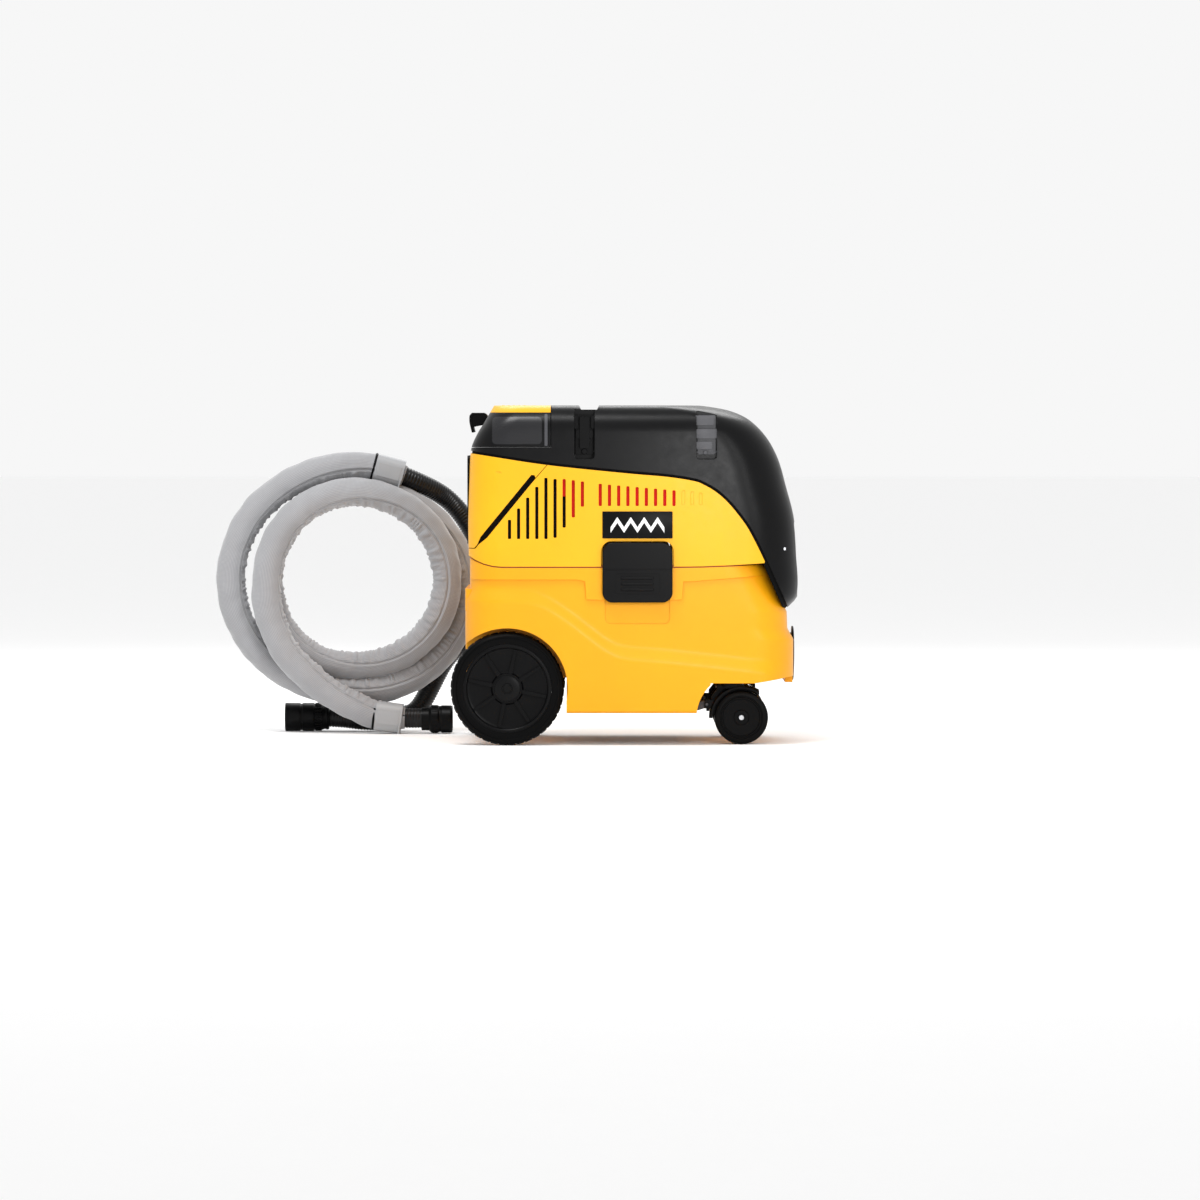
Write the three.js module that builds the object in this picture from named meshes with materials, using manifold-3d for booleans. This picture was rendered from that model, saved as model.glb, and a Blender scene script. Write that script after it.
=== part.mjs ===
// Wheeled dust extractor (canister vacuum cleaner) with its coiled suction hose, in millimetres.
// +X is the machine's front, +Z is up, and the origin is on the floor under the middle of the machine.
// The machine stands on two large rear wheels and two twin-wheel front casters. The motor head lifts off
// the yellow container. The hose is wound into an upright coil beside the machine's rear left corner.

import * as THREE from "three";
import { mergeVertices } from "three/addons/utils/BufferGeometryUtils.js";
import Module from "manifold-3d";

const wasm = await Module();
wasm.setup();

// ---------------------------------------------------------------- driving dimensions

const WALL = 4; // moulded wall thickness
const GAP = 0.4; // between pieces that touch
const SIDES = [
  ["right", -1],
  ["left", 1],
];

const WHEEL = { x: -196, z: 95, radius: 95, inner: 152, outer: 188 };
const ARCH_RADIUS = 101;
const AXLE_RADIUS = 6;
const CASTER = { x: 176, y: 128, trail: 20, radius: 45, clearance: 70, top: 104 };
const CASTER_AXIS_X = CASTER.x + CASTER.trail;

const TUB = { bottom: 54, rearFloor: 112, frontFloor: 104, halfWidth: 182, rimHeight: 21 };
const BULGE_HALF_WIDTH = 188;
const SEAM_Z = 297;
const SEAM_GAP = 0.8;

const HEAD = { halfWidth: 186, top: 568, shoulder: 45 };
const LATCH = { x: 21.5, width: 117, bottom: 239, top: 339, hingeZ: 326, y: 187, knuckle: 40 };
const CLIP = { width: 30, bottom: 486, top: 552, depth: 9, hingeY: -169, hingeZ: 490 };
const CLIP_X = { rear: -67, front: 137 };
const HANDLE = { x: 70, width: 150, grip: 26, hingeX: 122, hingeZ: 558 };
const BOX = { rear: -222, front: -123, bottom: 498, lidBottom: 556, halfWidth: 150 };
const PANEL = { halfWidth: 118, bottom: 250, top: 372, back: 266, face: 275 };
const MOTOR = { x: -10, canRadius: 58, scrollRadius: 78 };
const FILTER = { x: -30, length: 230, width: 96, y: 68, bottom: 222, top: 278 };

// ---------------------------------------------------------------- solids and meshes

// A closed three.js geometry as a manifold-3d solid.
function solid(geometry) {
  const bare = geometry.index ? geometry.toNonIndexed() : geometry.clone();
  for (const name of Object.keys(bare.attributes)) {
    if (name !== "position") bare.deleteAttribute(name);
  }
  const merged = mergeVertices(bare, 1e-3);
  const mesh = new wasm.Mesh({
    numProp: 3,
    vertProperties: merged.attributes.position.array,
    triVerts: new Uint32Array(merged.index.array),
  });
  return new wasm.Manifold(mesh);
}

// A solid's surface as a three.js geometry.
function geometryOf(body) {
  const mesh = body.getMesh();
  const places = new Float32Array(mesh.numVert * 3);
  for (let i = 0; i < mesh.numVert; i += 1) {
    const start = i * mesh.numProp;
    places.set(mesh.vertProperties.subarray(start, start + 3), i * 3);
  }
  const geometry = new THREE.BufferGeometry();
  geometry.setAttribute("position", new THREE.BufferAttribute(places, 3));
  geometry.setIndex(new THREE.BufferAttribute(mesh.triVerts, 1));
  return geometry;
}

const join = (...bodies) => bodies.reduce((a, b) => a.add(b));
const cut = (body, ...tools) => tools.reduce((a, b) => a.subtract(b), body);

function extruded(outline, depth) {
  const shape = outline.isShape
    ? outline
    : new THREE.Shape(outline.map(([u, v]) => new THREE.Vector2(u, v)));
  return new THREE.ExtrudeGeometry(shape, { depth, bevelEnabled: false, curveSegments: 8 });
}

// An outline in X and Z, run along Y.
function alongY(outline, yLow, yHigh) {
  const geometry = extruded(outline, yHigh - yLow);
  geometry.rotateX(Math.PI / 2);
  geometry.translate(0, yHigh, 0);
  return solid(geometry);
}

// An outline in X and Y, run along Z.
function alongZ(outline, zLow, zHigh) {
  const geometry = extruded(outline, zHigh - zLow);
  geometry.translate(0, 0, zLow);
  return solid(geometry);
}

// An outline in Y and Z, run along X.
function alongX(outline, xLow, xHigh) {
  const geometry = extruded(outline, xHigh - xLow);
  const turn = new THREE.Matrix4().makeBasis(
    new THREE.Vector3(0, 1, 0),
    new THREE.Vector3(0, 0, 1),
    new THREE.Vector3(1, 0, 0),
  );
  geometry.applyMatrix4(turn);
  geometry.translate(xLow, 0, 0);
  return solid(geometry);
}

function block(xLow, xHigh, yLow, yHigh, zLow, zHigh) {
  const geometry = new THREE.BoxGeometry(xHigh - xLow, yHigh - yLow, zHigh - zLow);
  geometry.translate((xLow + xHigh) / 2, (yLow + yHigh) / 2, (zLow + zHigh) / 2);
  return solid(geometry);
}

// A round bar along Y, X or Z, from low to high.
function rod(axis, centre, radius, low, high, sides = 24) {
  const geometry = new THREE.CylinderGeometry(radius, radius, high - low, sides);
  const middle = (low + high) / 2;
  if (axis === "x") geometry.rotateZ(Math.PI / 2).translate(middle, centre[0], centre[1]);
  if (axis === "y") geometry.translate(centre[0], middle, centre[1]);
  if (axis === "z") geometry.rotateX(Math.PI / 2).translate(centre[0], centre[1], middle);
  return solid(geometry);
}

// A turned piece on an axis along Y: its profile is [radius, y] from one end to the other, closed.
function turnedY(profile, x, z, sides = 40) {
  const points = profile.map(([radius, y]) => new THREE.Vector2(radius, y));
  points.push(points[0].clone());
  const geometry = new THREE.LatheGeometry(points, sides);
  geometry.translate(x, 0, z);
  return outwards(geometry);
}

// Turns a closed geometry's faces out if its profile ran the other way.
function outwards(geometry) {
  const made = solid(geometry);
  if (made.volume() > 0) return made;
  const flipped = geometry.toNonIndexed();
  const places = flipped.attributes.position.array;
  for (let i = 0; i < places.length; i += 9) {
    for (let k = 0; k < 3; k += 1) {
      [places[i + 3 + k], places[i + 6 + k]] = [places[i + 6 + k], places[i + 3 + k]];
    }
  }
  return solid(flipped);
}

// The same solid on the other side of the machine.
const onSide = (body, side) => (side < 0 ? body : body.mirror([0, 1, 0]));

function roundedRectangle(uLow, uHigh, vLow, vHigh, radius, steps = 4) {
  const points = [];
  const corners = [
    [uHigh - radius, vHigh - radius, 0],
    [uLow + radius, vHigh - radius, 90],
    [uLow + radius, vLow + radius, 180],
    [uHigh - radius, vLow + radius, 270],
  ];
  for (const [u, v, start] of corners) {
    for (let i = 0; i <= steps; i += 1) {
      const angle = THREE.MathUtils.degToRad(start + (90 * i) / steps);
      points.push([u + radius * Math.cos(angle), v + radius * Math.sin(angle)]);
    }
  }
  return points;
}

// Straight-line value between listed [key, value] stations.
function between(stations, key) {
  const last = stations.length - 1;
  if (key <= stations[0][0]) return stations[0][1];
  if (key >= stations[last][0]) return stations[last][1];
  const i = stations.findIndex(([k]) => k > key);
  const [k0, v0] = stations[i - 1];
  const [k1, v1] = stations[i];
  return v0 + ((v1 - v0) * (key - k0)) / (k1 - k0);
}

// ---------------------------------------------------------------- the machine's outer form

// Where the front and rear faces stand at each height: [height, x].
const HEAD_FRONT = [
  [226, 272],
  [248, 291],
  [321, 290],
  [380, 285],
  [435, 271],
  [474, 260],
  [502, 247],
  [522, 233],
  [539, 216],
  [550, 200],
  [560, 175],
  [565, 150],
  [568, 128],
];
const HEAD_REAR = [
  [226, -258],
  [360, -262],
  [440, -260],
  [495, -257],
  [518, -248],
  [538, -236],
  [557, -225],
  [568, -219],
];
const TUB_FRONT = [
  [54, 284],
  [176, 284],
  [194, 274],
  [222, 273],
  [268, 251],
  [303, 235],
  [320, 228],
];
const TUB_REAR = [
  [54, -256],
  [180, -259],
  [320, -259],
];

// The lower edge of the top cover, from the rear to the foot of the nose: [x, height].
const COVER_EDGE = [
  [-300, 493],
  [-257, 489],
  [-132, 470],
  [1, 456],
  [70, 450],
  [115, 443],
  [132, 437],
  [154, 424],
  [176, 404],
  [200, 374],
  [214, 351],
  [233, 313],
  [251, 273],
  [273, 225],
];

// The seam between container and head runs level and lifts towards both ends.
function seam(x) {
  const rear = Math.max(0, -205 - x) / 55;
  const front = Math.max(0, x - 80) / 155;
  return SEAM_Z + 17 * rear * rear + 6 * front * front;
}

function seamLine(lift) {
  const xs = [-290, -262, -250, -236, -220, -205, 80, 130, 180, 220, 235];
  return xs.map((x) => [x, seam(x) + lift]);
}

// A body whose level section is a rounded rectangle at every height.
function loft(levels, cornerSteps = 5) {
  const rings = levels.map(({ z, rear, front, half, rearCorner, frontCorner }) => {
    const ring = [];
    const corners = [
      [front - frontCorner, half - frontCorner, frontCorner, 0],
      [rear + rearCorner, half - rearCorner, rearCorner, 90],
      [rear + rearCorner, -half + rearCorner, rearCorner, 180],
      [front - frontCorner, -half + frontCorner, frontCorner, 270],
    ];
    for (const [x, y, radius, start] of corners) {
      for (let i = 0; i <= cornerSteps; i += 1) {
        const angle = THREE.MathUtils.degToRad(start + (90 * i) / cornerSteps);
        ring.push([x + radius * Math.cos(angle), y + radius * Math.sin(angle), z]);
      }
    }
    return ring;
  });
  const count = rings[0].length;
  const places = rings.flat(2);
  const faces = [];
  for (let level = 0; level + 1 < rings.length; level += 1) {
    for (let i = 0; i < count; i += 1) {
      const a = level * count + i;
      const b = level * count + ((i + 1) % count);
      faces.push(a, b, b + count, a, b + count, a + count);
    }
  }
  const top = (rings.length - 1) * count;
  for (let i = 1; i + 1 < count; i += 1) {
    faces.push(0, i + 1, i);
    faces.push(top, top + i, top + i + 1);
  }
  const geometry = new THREE.BufferGeometry();
  geometry.setAttribute("position", new THREE.Float32BufferAttribute(places, 3));
  geometry.setIndex(faces);
  return solid(geometry);
}

// The whole head's outer form, or with inset the form inside its walls.
function headForm(inset = 0) {
  const heights = [226, 248, 321, 380, 435, 474, 502, 523, 539, 550, 560, 565, 568];
  const levels = heights.map((z) => {
    const up = Math.max(0, z - (HEAD.top - HEAD.shoulder));
    const drop = Math.sqrt(HEAD.shoulder ** 2 - up ** 2) - HEAD.shoulder;
    const half = HEAD.halfWidth + drop - inset;
    return {
      z: z === HEAD.top ? HEAD.top - inset : Math.min(z, HEAD.top - inset - 0.5 * (HEAD.top - z)),
      rear: between(HEAD_REAR, z) + inset,
      front: between(HEAD_FRONT, z) - inset,
      half,
      rearCorner: 52 - inset,
      frontCorner: 84 - inset,
    };
  });
  levels[0].z -= inset ? 20 : 0;
  return loft(levels);
}

function tubForm(inset = 0, half = TUB.halfWidth) {
  const heights = [TUB.bottom, 176, 194, 222, 268, 303, 320];
  const levels = heights.map((z) => ({
    z: z === TUB.bottom ? z + inset : z,
    rear: between(TUB_REAR, z) + inset,
    front: between(TUB_FRONT, z) - inset,
    half: half - inset,
    rearCorner: 52 - inset,
    frontCorner: 70 - inset,
  }));
  return loft(levels);
}

// The spaces under and beside the container that its wheels and casters need, grown outwards by grow.
function undersideSpaces(grow) {
  const spaces = [
    block(-300, WHEEL.x + ARCH_RADIUS - 2 + grow, -220, 220, -10, TUB.rearFloor + grow),
    alongY(
      [
        [CASTER_AXIS_X - 34, -10],
        [300, -10],
        [300, 117 + grow],
        [262, 111 + grow],
        [218, CASTER.top + grow],
        [CASTER_AXIS_X - 34, CASTER.top + grow],
      ],
      -220,
      220,
    ),
  ];
  const frontArch = rod("y", [CASTER_AXIS_X, 46], 76 + grow, -220, 220);
  spaces.push(frontArch.intersect(block(60, 300, -220, 220, -10, CASTER.top + grow)));
  for (const [, side] of SIDES) {
    const arch = rod("y", [WHEEL.x, WHEEL.z], ARCH_RADIUS + grow, -220, -146 + grow, 40);
    spaces.push(onSide(arch, side));
    spaces.push(
      rod("z", [CASTER.x, side * CASTER.y], CASTER.clearance + grow, -10, CASTER.top + grow),
    );
  }
  return join(...spaces);
}

// ---------------------------------------------------------------- container

function container() {
  const belowSeam = alongY([[-290, 0], [300, 0], [300, 305], ...seamLine(0).reverse()], -220, 220);
  const rim = tubForm(0, HEAD.halfWidth).intersect(
    block(-290, 300, -220, 220, SEAM_Z - TUB.rimHeight, 330),
  );
  const bulgeSide = [
    [-290, 30],
    [300, 30],
    [300, 120],
    [240, 124],
    [75, 143],
    [-5, 152],
    [-30, 164],
    [-60, 190],
    [-100, 222],
    [-140, 248],
    [-290, 256],
  ];
  const bulge = tubForm(0, BULGE_HALF_WIDTH).intersect(alongY(bulgeSide, -220, 220));
  const rearLip = alongZ(roundedRectangle(-267, -230, -150, 150, 12), 224, 261);
  const frontSkirt = block(270, 284, -92, 92, 102, 130);
  const outside = join(tubForm(), rim, bulge, rearLip).intersect(belowSeam);

  const hollow = cut(tubForm(WALL), undersideSpaces(WALL));
  const fingerRecesses = SIDES.map(([, side]) => {
    const recess = block(LATCH.x - 54, LATCH.x + 54, -200, -180.5, 204, 330);
    return onSide(recess, side);
  });
  const shell = join(cut(outside, undersideSpaces(0), ...fingerRecesses, hollow), frontSkirt);

  const bosses = [];
  const bores = [rod("y", [WHEEL.x, WHEEL.z], AXLE_RADIUS + GAP, -146, 146, 24)];
  for (const [, side] of SIDES) {
    const carrier = block(WHEEL.x - 18, WHEEL.x + 18, -136, -116, 76, TUB.rearFloor + 2);
    bosses.push(onSide(carrier, side));
    bosses.push(rod("z", [CASTER.x, side * CASTER.y], 17, CASTER.top, CASTER.top + 40, 24));
    bores.push(rod("z", [CASTER.x, side * CASTER.y], 8.5, CASTER.top - 1, CASTER.top + 34, 24));
  }
  const inlet = rod("x", [0, INLET.z], INLET.bore + 6 + GAP, 240, 300, 32);
  return cut(join(shell, ...bosses), ...bores, inlet);
}

const INLET = { z: 148, bore: 29, flange: 46 };

function inletPort() {
  const ring = join(
    rod("x", [0, INLET.z], INLET.flange, 284 + GAP, 288, 36),
    rod("x", [0, INLET.z], INLET.bore + 6, 262, 286, 36),
  );
  return cut(ring, rod("x", [0, INLET.z], INLET.bore, 250, 300, 36));
}

// The outline of the head's base plate, which lifts straight out of the container's mouth.
const BASE = { rear: -249.5, front: 219, half: 172.5, corner: 60 };
function baseSlab(grow, low, high) {
  const { rear, front, half, corner } = BASE;
  const outline = roundedRectangle(
    rear - grow,
    front + grow,
    -half - grow,
    half + grow,
    corner + grow,
    5,
  );
  return alongZ(outline, low, high);
}

// A flat lip seal in the container's mouth, round the head's base plate.
function containerGasket() {
  const outer = tubForm(WALL + 0.5).intersect(block(-290, 300, -220, 220, 280, 288));
  return cut(outer, baseSlab(0.6, 270, 300));
}

// ---------------------------------------------------------------- wheels and casters

function rearTyre() {
  const { inner, outer, radius } = WHEEL;
  return turnedY(
    [
      [74, -inner],
      [84, -inner],
      [radius - 3, -inner - 3],
      [radius, -inner - 9],
      [radius, -outer + 9],
      [radius - 3, -outer + 3],
      [84, -outer],
      [74, -outer],
    ],
    WHEEL.x,
    WHEEL.z,
    48,
  );
}

function rearRim() {
  const { inner, outer } = WHEEL;
  return turnedY(
    [
      [AXLE_RADIUS + 0.3, -inner - 1],
      [17, -inner - 1],
      [18, -inner - 10],
      [62, -inner - 14],
      [66, -inner - 2],
      [73.7, -inner - 1],
      [73.7, -outer + 1],
      [68, -outer + 1],
      [63, -outer + 9],
      [26, -outer + 7],
      [24, -outer + 3],
      [AXLE_RADIUS + 0.3, -outer + 3],
    ],
    WHEEL.x,
    WHEEL.z,
    48,
  );
}

function hubCap() {
  const face = -WHEEL.outer;
  return turnedY(
    [
      [0.01, face + 2.6],
      [22, face + 2.6],
      [22, face + 1],
      [18, face - 1.5],
      [0.01, face - 2],
    ],
    WHEEL.x,
    WHEEL.z,
    24,
  );
}

function casterFork() {
  const y = -CASTER.y;
  const hoodOuter = rod("y", [CASTER_AXIS_X, 45], 54, y - 21, y + 21, 36);
  const hoodInner = rod("y", [CASTER_AXIS_X, 45], 48.5, y - 30, y + 30, 36);
  const hoodSide = [
    [118, 44],
    [150, 44],
    [196, 45],
    [226, 84],
    [226, 120],
    [118, 120],
  ];
  const hood = hoodOuter.intersect(alongY(hoodSide, y - 30, y + 30));
  const ring = cut(hood, hoodInner);
  const web = alongY(
    [
      [146, 50],
      [186, 36],
      [206, 36],
      [212, 60],
      [214, 96],
      [160, 98],
      [146, 80],
    ],
    y - 4.5,
    y + 4.5,
  );
  const shoulder = block(CASTER.x - 22, CASTER.x + 26, y - 20, y + 20, 94, 99);
  const plate = rod("z", [CASTER.x, y], 24, 96, CASTER.top - 1.5, 24);
  const stem = rod("z", [CASTER.x, y], 8, 98, CASTER.top + 30, 20);
  const bore = rod("y", [CASTER_AXIS_X, 45], 4.4, y - 10, y + 10, 16);
  const lugs = [-16.5, 13].map((from) => block(134, 150, y + from, y + from + 3.5, 60, 74));
  const lugBore = rod("y", [BRAKE.x, BRAKE.z], 2.8, y - 20, y + 20, 12);
  return cut(join(ring, web, shoulder, plate, stem, ...lugs), bore, lugBore);
}

function casterWheel() {
  const y = -CASTER.y;
  const disc = (near, far) =>
    turnedY(
      [
        [4.4, near],
        [CASTER.radius - 2.5, near],
        [CASTER.radius, near + Math.sign(far - near) * 3],
        [CASTER.radius, far - Math.sign(far - near) * 3],
        [CASTER.radius - 2.5, far],
        [4.4, far],
      ],
      CASTER_AXIS_X,
      45,
      36,
    );
  return [disc(y - 20, y - 5.5), disc(y + 5.5, y + 20)];
}

function casterAxle() {
  return rod("y", [CASTER_AXIS_X, 45], 4, -CASTER.y - 22, -CASTER.y + 22, 16);
}

const BRAKE = { x: 138, z: 67 };
function casterBrake() {
  const y = -CASTER.y;
  const pedal = alongY(
    [
      [115, 62],
      [119, 56],
      [136, 61],
      [141.5, 66],
      [138, 71.5],
      [132, 72],
      [117, 67],
    ],
    y - 12.4,
    y + 12.4,
  );
  return join(pedal, rod("y", [BRAKE.x, BRAKE.z], 2.4, y - 16.4, y + 16.4, 12));
}

// ---------------------------------------------------------------- motor head

function headBase() {
  const plate = baseSlab(0, 281, 285);
  const wall = cut(baseSlab(0, 281, 302), baseSlab(-3, 280, 303));
  const flanges = SIDES.map(([, side]) => onSide(block(-190, 70, -181.5, -171, 298.6, 302), side));
  const airHole = rod("z", [MOTOR.x, 0], 14, 270, 300, 20);
  const openings = SIDES.map(([, side]) =>
    onSide(
      block(
        FILTER.x - FILTER.length / 2 + 14,
        FILTER.x + FILTER.length / 2 - 14,
        -FILTER.y - FILTER.width / 2 + 12,
        -FILTER.y + FILTER.width / 2 - 12,
        270,
        300,
      ),
      side,
    ),
  );
  return cut(join(plate, wall, ...flanges), airHole, ...openings);
}

function filterFrame() {
  const { x, length, width, y, bottom, top } = FILTER;
  const frame = block(x - length / 2, x + length / 2, -y - width / 2, -y + width / 2, bottom, top);
  const hole = block(
    x - length / 2 + 6,
    x + length / 2 - 6,
    -y - width / 2 + 6,
    -y + width / 2 - 6,
    bottom - 5,
    top + 5,
  );
  const flange = block(
    x - length / 2 - 6,
    x + length / 2 + 6,
    -y - width / 2 - 4,
    -y + width / 2 + 4,
    top - 4,
    top + 2.4,
  );
  return cut(join(frame, flange), hole);
}

function filterPleats() {
  const { x, length, width, y, bottom, top } = FILTER;
  const count = 12;
  const start = x - length / 2 + 7;
  const pitch = (length - 14) / count;
  const lower = [];
  const upper = [];
  for (let i = 0; i <= count; i += 1) {
    const at = start + i * pitch;
    lower.push([at, bottom + (i % 2 ? 44 : 2)]);
    upper.unshift([at, bottom + (i % 2 ? 50 : 8)]);
  }
  return alongY([...lower, ...upper], -y - width / 2 + 6.5, -y + width / 2 - 6.5);
}

const belowCover = (drop) => [
  ...seamLine(SEAM_GAP),
  ...COVER_EDGE.filter(([x, z]) => z > seam(x) + 12)
    .map(([x, z]) => [x - drop, z - drop])
    .reverse(),
];

// Everything above the cover's edge, and ahead of it at the nose.
const aboveCover = () => [...COVER_EDGE, [300, 210], [330, 210], [330, 620], [-300, 620]];

// The slanting joint between the head's main housing and its rear housing.
const SLANT = { foot: [-247, 333], head: [-128, 470], slotEnd: [-152, 449], slotWidth: 9 };

function slantBand(halfWidth, from, to) {
  const along = [to[0] - from[0], to[1] - from[1]];
  const length = Math.hypot(...along);
  const across = [(-along[1] / length) * halfWidth, (along[0] / length) * halfWidth];
  return [
    [from[0] + across[0], from[1] + across[1]],
    [from[0] - across[0], from[1] - across[1]],
    [to[0] - across[0], to[1] - across[1]],
    [to[0] + across[0], to[1] + across[1]],
  ];
}

const SLOT_PITCH = 15.2;
const REAR_SLOTS = [
  [345, 377],
  [345, 396],
  [345, 414],
  [345, 432],
  [345, 447],
  [347, 445],
  [364, 445],
  [381, 443],
  [399, 441],
];
const SLOT_WIDTH = 4.8;

function ventSlots() {
  const slots = REAR_SLOTS.map(([low, high], i) => {
    const x = -192 + i * SLOT_PITCH;
    return block(x - SLOT_WIDTH / 2, x + SLOT_WIDTH / 2, -200, -150, low, high);
  });
  for (let i = 0; i < 9; i += 1) {
    const x = -40.6 + i * SLOT_PITCH * 1.012;
    slots.push(block(x - SLOT_WIDTH / 2, x + SLOT_WIDTH / 2, -200, -150, 400, 437 - i * 1.35));
  }
  return slots;
}

function yellowShell() {
  const shell = cut(headForm(), headForm(WALL));
  return shell.intersect(alongY(belowCover(0.8), -220, 220));
}

// Everything behind the slanting joint, and the straight rear below it.
function rearRegion(shrink) {
  const [footX, footZ] = SLANT.foot;
  const [headX, headZ] = SLANT.head;
  const slope = (headX - footX) / (headZ - footZ);
  return [
    [-300, 329 + shrink],
    [footX - (footZ - 329) * slope - shrink, 329 + shrink],
    [headX - shrink, headZ],
    [headX + 60 - shrink, headZ + 60 / slope],
    [-300, 560],
  ];
}

function headHousing() {
  const slot = alongY(slantBand(SLANT.slotWidth / 2, SLANT.foot, SLANT.slotEnd), -220, 220);
  const rear = alongY(rearRegion(-0.3), -220, 220);
  const { x, y, hingeZ, knuckle } = LATCH;
  const latchSeats = SIDES.map(([, side]) => {
    const seat = block(x - 61, x + 61, -200, -183.5, 280, 343);
    return onSide(join(seat, block(x - 61, x + 61, -200, -174, 318, 343)), side);
  });
  const lugs = SIDES.flatMap(([, side]) =>
    [-knuckle - 7, knuckle + 1].map((from) => {
      const stalk = block(x + from, x + from + 6, -y - 4.4, -182, 309, hingeZ);
      const eye = rod("x", [-y, hingeZ], 4.6, x + from, x + from + 6, 16);
      const lug = cut(join(stalk, eye), rod("x", [-y, hingeZ], 2.3, x - 60, x + 60, 12));
      return onSide(lug, side);
    }),
  );
  const vents = ventSlots().flatMap((slotTool) => [slotTool, slotTool.mirror([0, 1, 0])]);
  return join(cut(yellowShell(), slot, rear, ...vents, ...latchSeats), ...lugs);
}

function rearHousing() {
  const slot = alongY(slantBand(SLANT.slotWidth / 2, SLANT.foot, SLANT.slotEnd), -220, 220);
  const window = block(-290, -240, -132, 132, 335, 500);
  return cut(yellowShell().intersect(alongY(rearRegion(0.3), -220, 220)), slot, window);
}

function rearPanel() {
  const plate = alongX(roundedRectangle(-131, 131, 336, 484, 8), -263.5, -257.5);
  return cut(plate, rod("x", [GLAND.y, GLAND.z], 9, -280, -250, 20));
}

const GLAND = { y: 60, z: 360 };

function cableGland() {
  const flange = rod("x", [GLAND.y, GLAND.z], 15, -268, -263.8, 20);
  const nose = rod("x", [GLAND.y, GLAND.z], 8.6, -265, -250, 20);
  return cut(join(flange, nose), rod("x", [GLAND.y, GLAND.z], 4.2, -280, -240, 16));
}

function topCover() {
  const outer = headForm();
  const region = alongY(aboveCover(), -220, 220);
  const shell = cut(outer, headForm(WALL)).intersect(region);
  const additions = [];
  const pockets = [];
  // The tray that the carry handle folds into.
  const tray = [HANDLE.x - 66, HANDLE.x + 66, -HANDLE.width / 2 - 3, HANDLE.width / 2 + 3];
  additions.push(block(tray[0] - 4, tray[1] + 4, tray[2] - 8, tray[3] + 8, 541, 566));
  pockets.push(block(...tray, 545, 600));
  pockets.push(rod("y", [HANDLE.hingeX, HANDLE.hingeZ], 3.9, tray[2] - 6, tray[3] + 6, 16));
  // A groove across the top, behind the handle.
  additions.push(block(-79, -40, -154, 154, 556, 568));
  pockets.push(block(-75, -44, -200, 200, 561, 600));
  // The bay that holds the accessory compartment.
  const half = BOX.halfWidth;
  additions.push(block(BOX.front + 1, BOX.front + 6, -half - 4, half + 4, BOX.bottom, 566));
  pockets.push(block(-300, BOX.front + GAP, -220, 220, BOX.bottom - 1, 600));
  // A recess for each of the four case clips.
  for (const x of Object.values(CLIP_X)) {
    for (const [, side] of SIDES) {
      const seat = block(x - 22, x + 22, -182, -158, CLIP.bottom - 12, HEAD.top);
      const recess = block(x - 17, x + 17, -200, -163.5, CLIP.bottom - 8, 600);
      const bores = rod("x", [CLIP.hingeY, CLIP.hingeZ], 2.8, x - 19.5, x + 19.5, 12);
      additions.push(onSide(seat, side));
      pockets.push(onSide(join(recess, bores), side));
    }
  }
  // The window for the control panel in the nose.
  const window = block(250, 300, -PANEL.halfWidth - 1, PANEL.halfWidth + 1, 249, 373);
  const noseGap = tubForm(-1.6).intersect(block(150, 300, -220, 220, 200, 330));
  const solidAdditions = join(...additions).intersect(outer);
  return cut(join(shell, solidAdditions), ...pockets, window, noseGap);
}

function compartmentBox() {
  const form = headForm(0.01).intersect(
    block(-300, BOX.front - GAP, -220, 220, BOX.bottom, BOX.lidBottom - GAP),
  );
  const hollow = headForm(WALL + 2).intersect(
    block(-300, BOX.front - WALL, -220, 220, BOX.bottom + WALL, BOX.lidBottom - 6),
  );
  const mouth = block(
    BOX.rear + 14,
    BOX.front - WALL,
    -BOX.halfWidth + 6,
    BOX.halfWidth - 6,
    BOX.lidBottom - 12,
    600,
  );
  return cut(form, hollow, mouth);
}

function compartmentLid() {
  const form = headForm(0.01).intersect(
    block(-300, BOX.front - GAP, -220, 220, BOX.lidBottom, HEAD.top + 1),
  );
  const underside = block(-214, BOX.front - 14, -136, 136, BOX.lidBottom - 5, BOX.lidBottom + 7);
  return cut(form, underside);
}

function cableHook() {
  const arm = alongY(
    [
      [-231, 548],
      [-236, 556],
      [-262, 556],
      [-262, 540],
      [-257, 522],
      [-253, 522],
      [-256, 541],
      [-255, 550],
      [-246, 549],
      [-238, 537],
    ],
    -46,
    46,
  );
  return cut(arm, headForm(-GAP));
}

function controlPanel() {
  const { halfWidth, bottom, top, back, face } = PANEL;
  const plate = alongX(roundedRectangle(-halfWidth, halfWidth, bottom, top, 10), back, face);
  const buttonHole = rod("x", [0, BUTTON.z], BUTTON.radius + 0.5, 250, 300, 20);
  const socket = rod("x", [0, 284], 20, face - 5, 300, 24);
  const hingeRelief = block(face - 2, face + 2, -31, 31, 305.5, 316);
  return cut(plate, buttonHole, socket, hingeRelief);
}

const DIAL = { y: 56, z: 326, radius: 21 };
const BUTTON = { z: 346, radius: 9 };

function dial(y) {
  const skirt = rod("x", [y, DIAL.z], DIAL.radius, PANEL.face + GAP, PANEL.face + 4, 30);
  const knob = rod("x", [y, DIAL.z], DIAL.radius - 4, PANEL.face + 2, PANEL.face + 12, 30);
  const pointer = block(PANEL.face + 3, PANEL.face + 13, y - 2, y + 2, DIAL.z, DIAL.z + 16);
  return join(skirt, knob, pointer);
}

function cleanButton() {
  const { z, radius } = BUTTON;
  return rod("x", [0, z], radius, PANEL.back + 1, PANEL.face + 6, 20);
}

function socketFlap() {
  return alongX(roundedRectangle(-28, 28, 256, 312, 6), PANEL.face + GAP, PANEL.face + 6);
}

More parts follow.
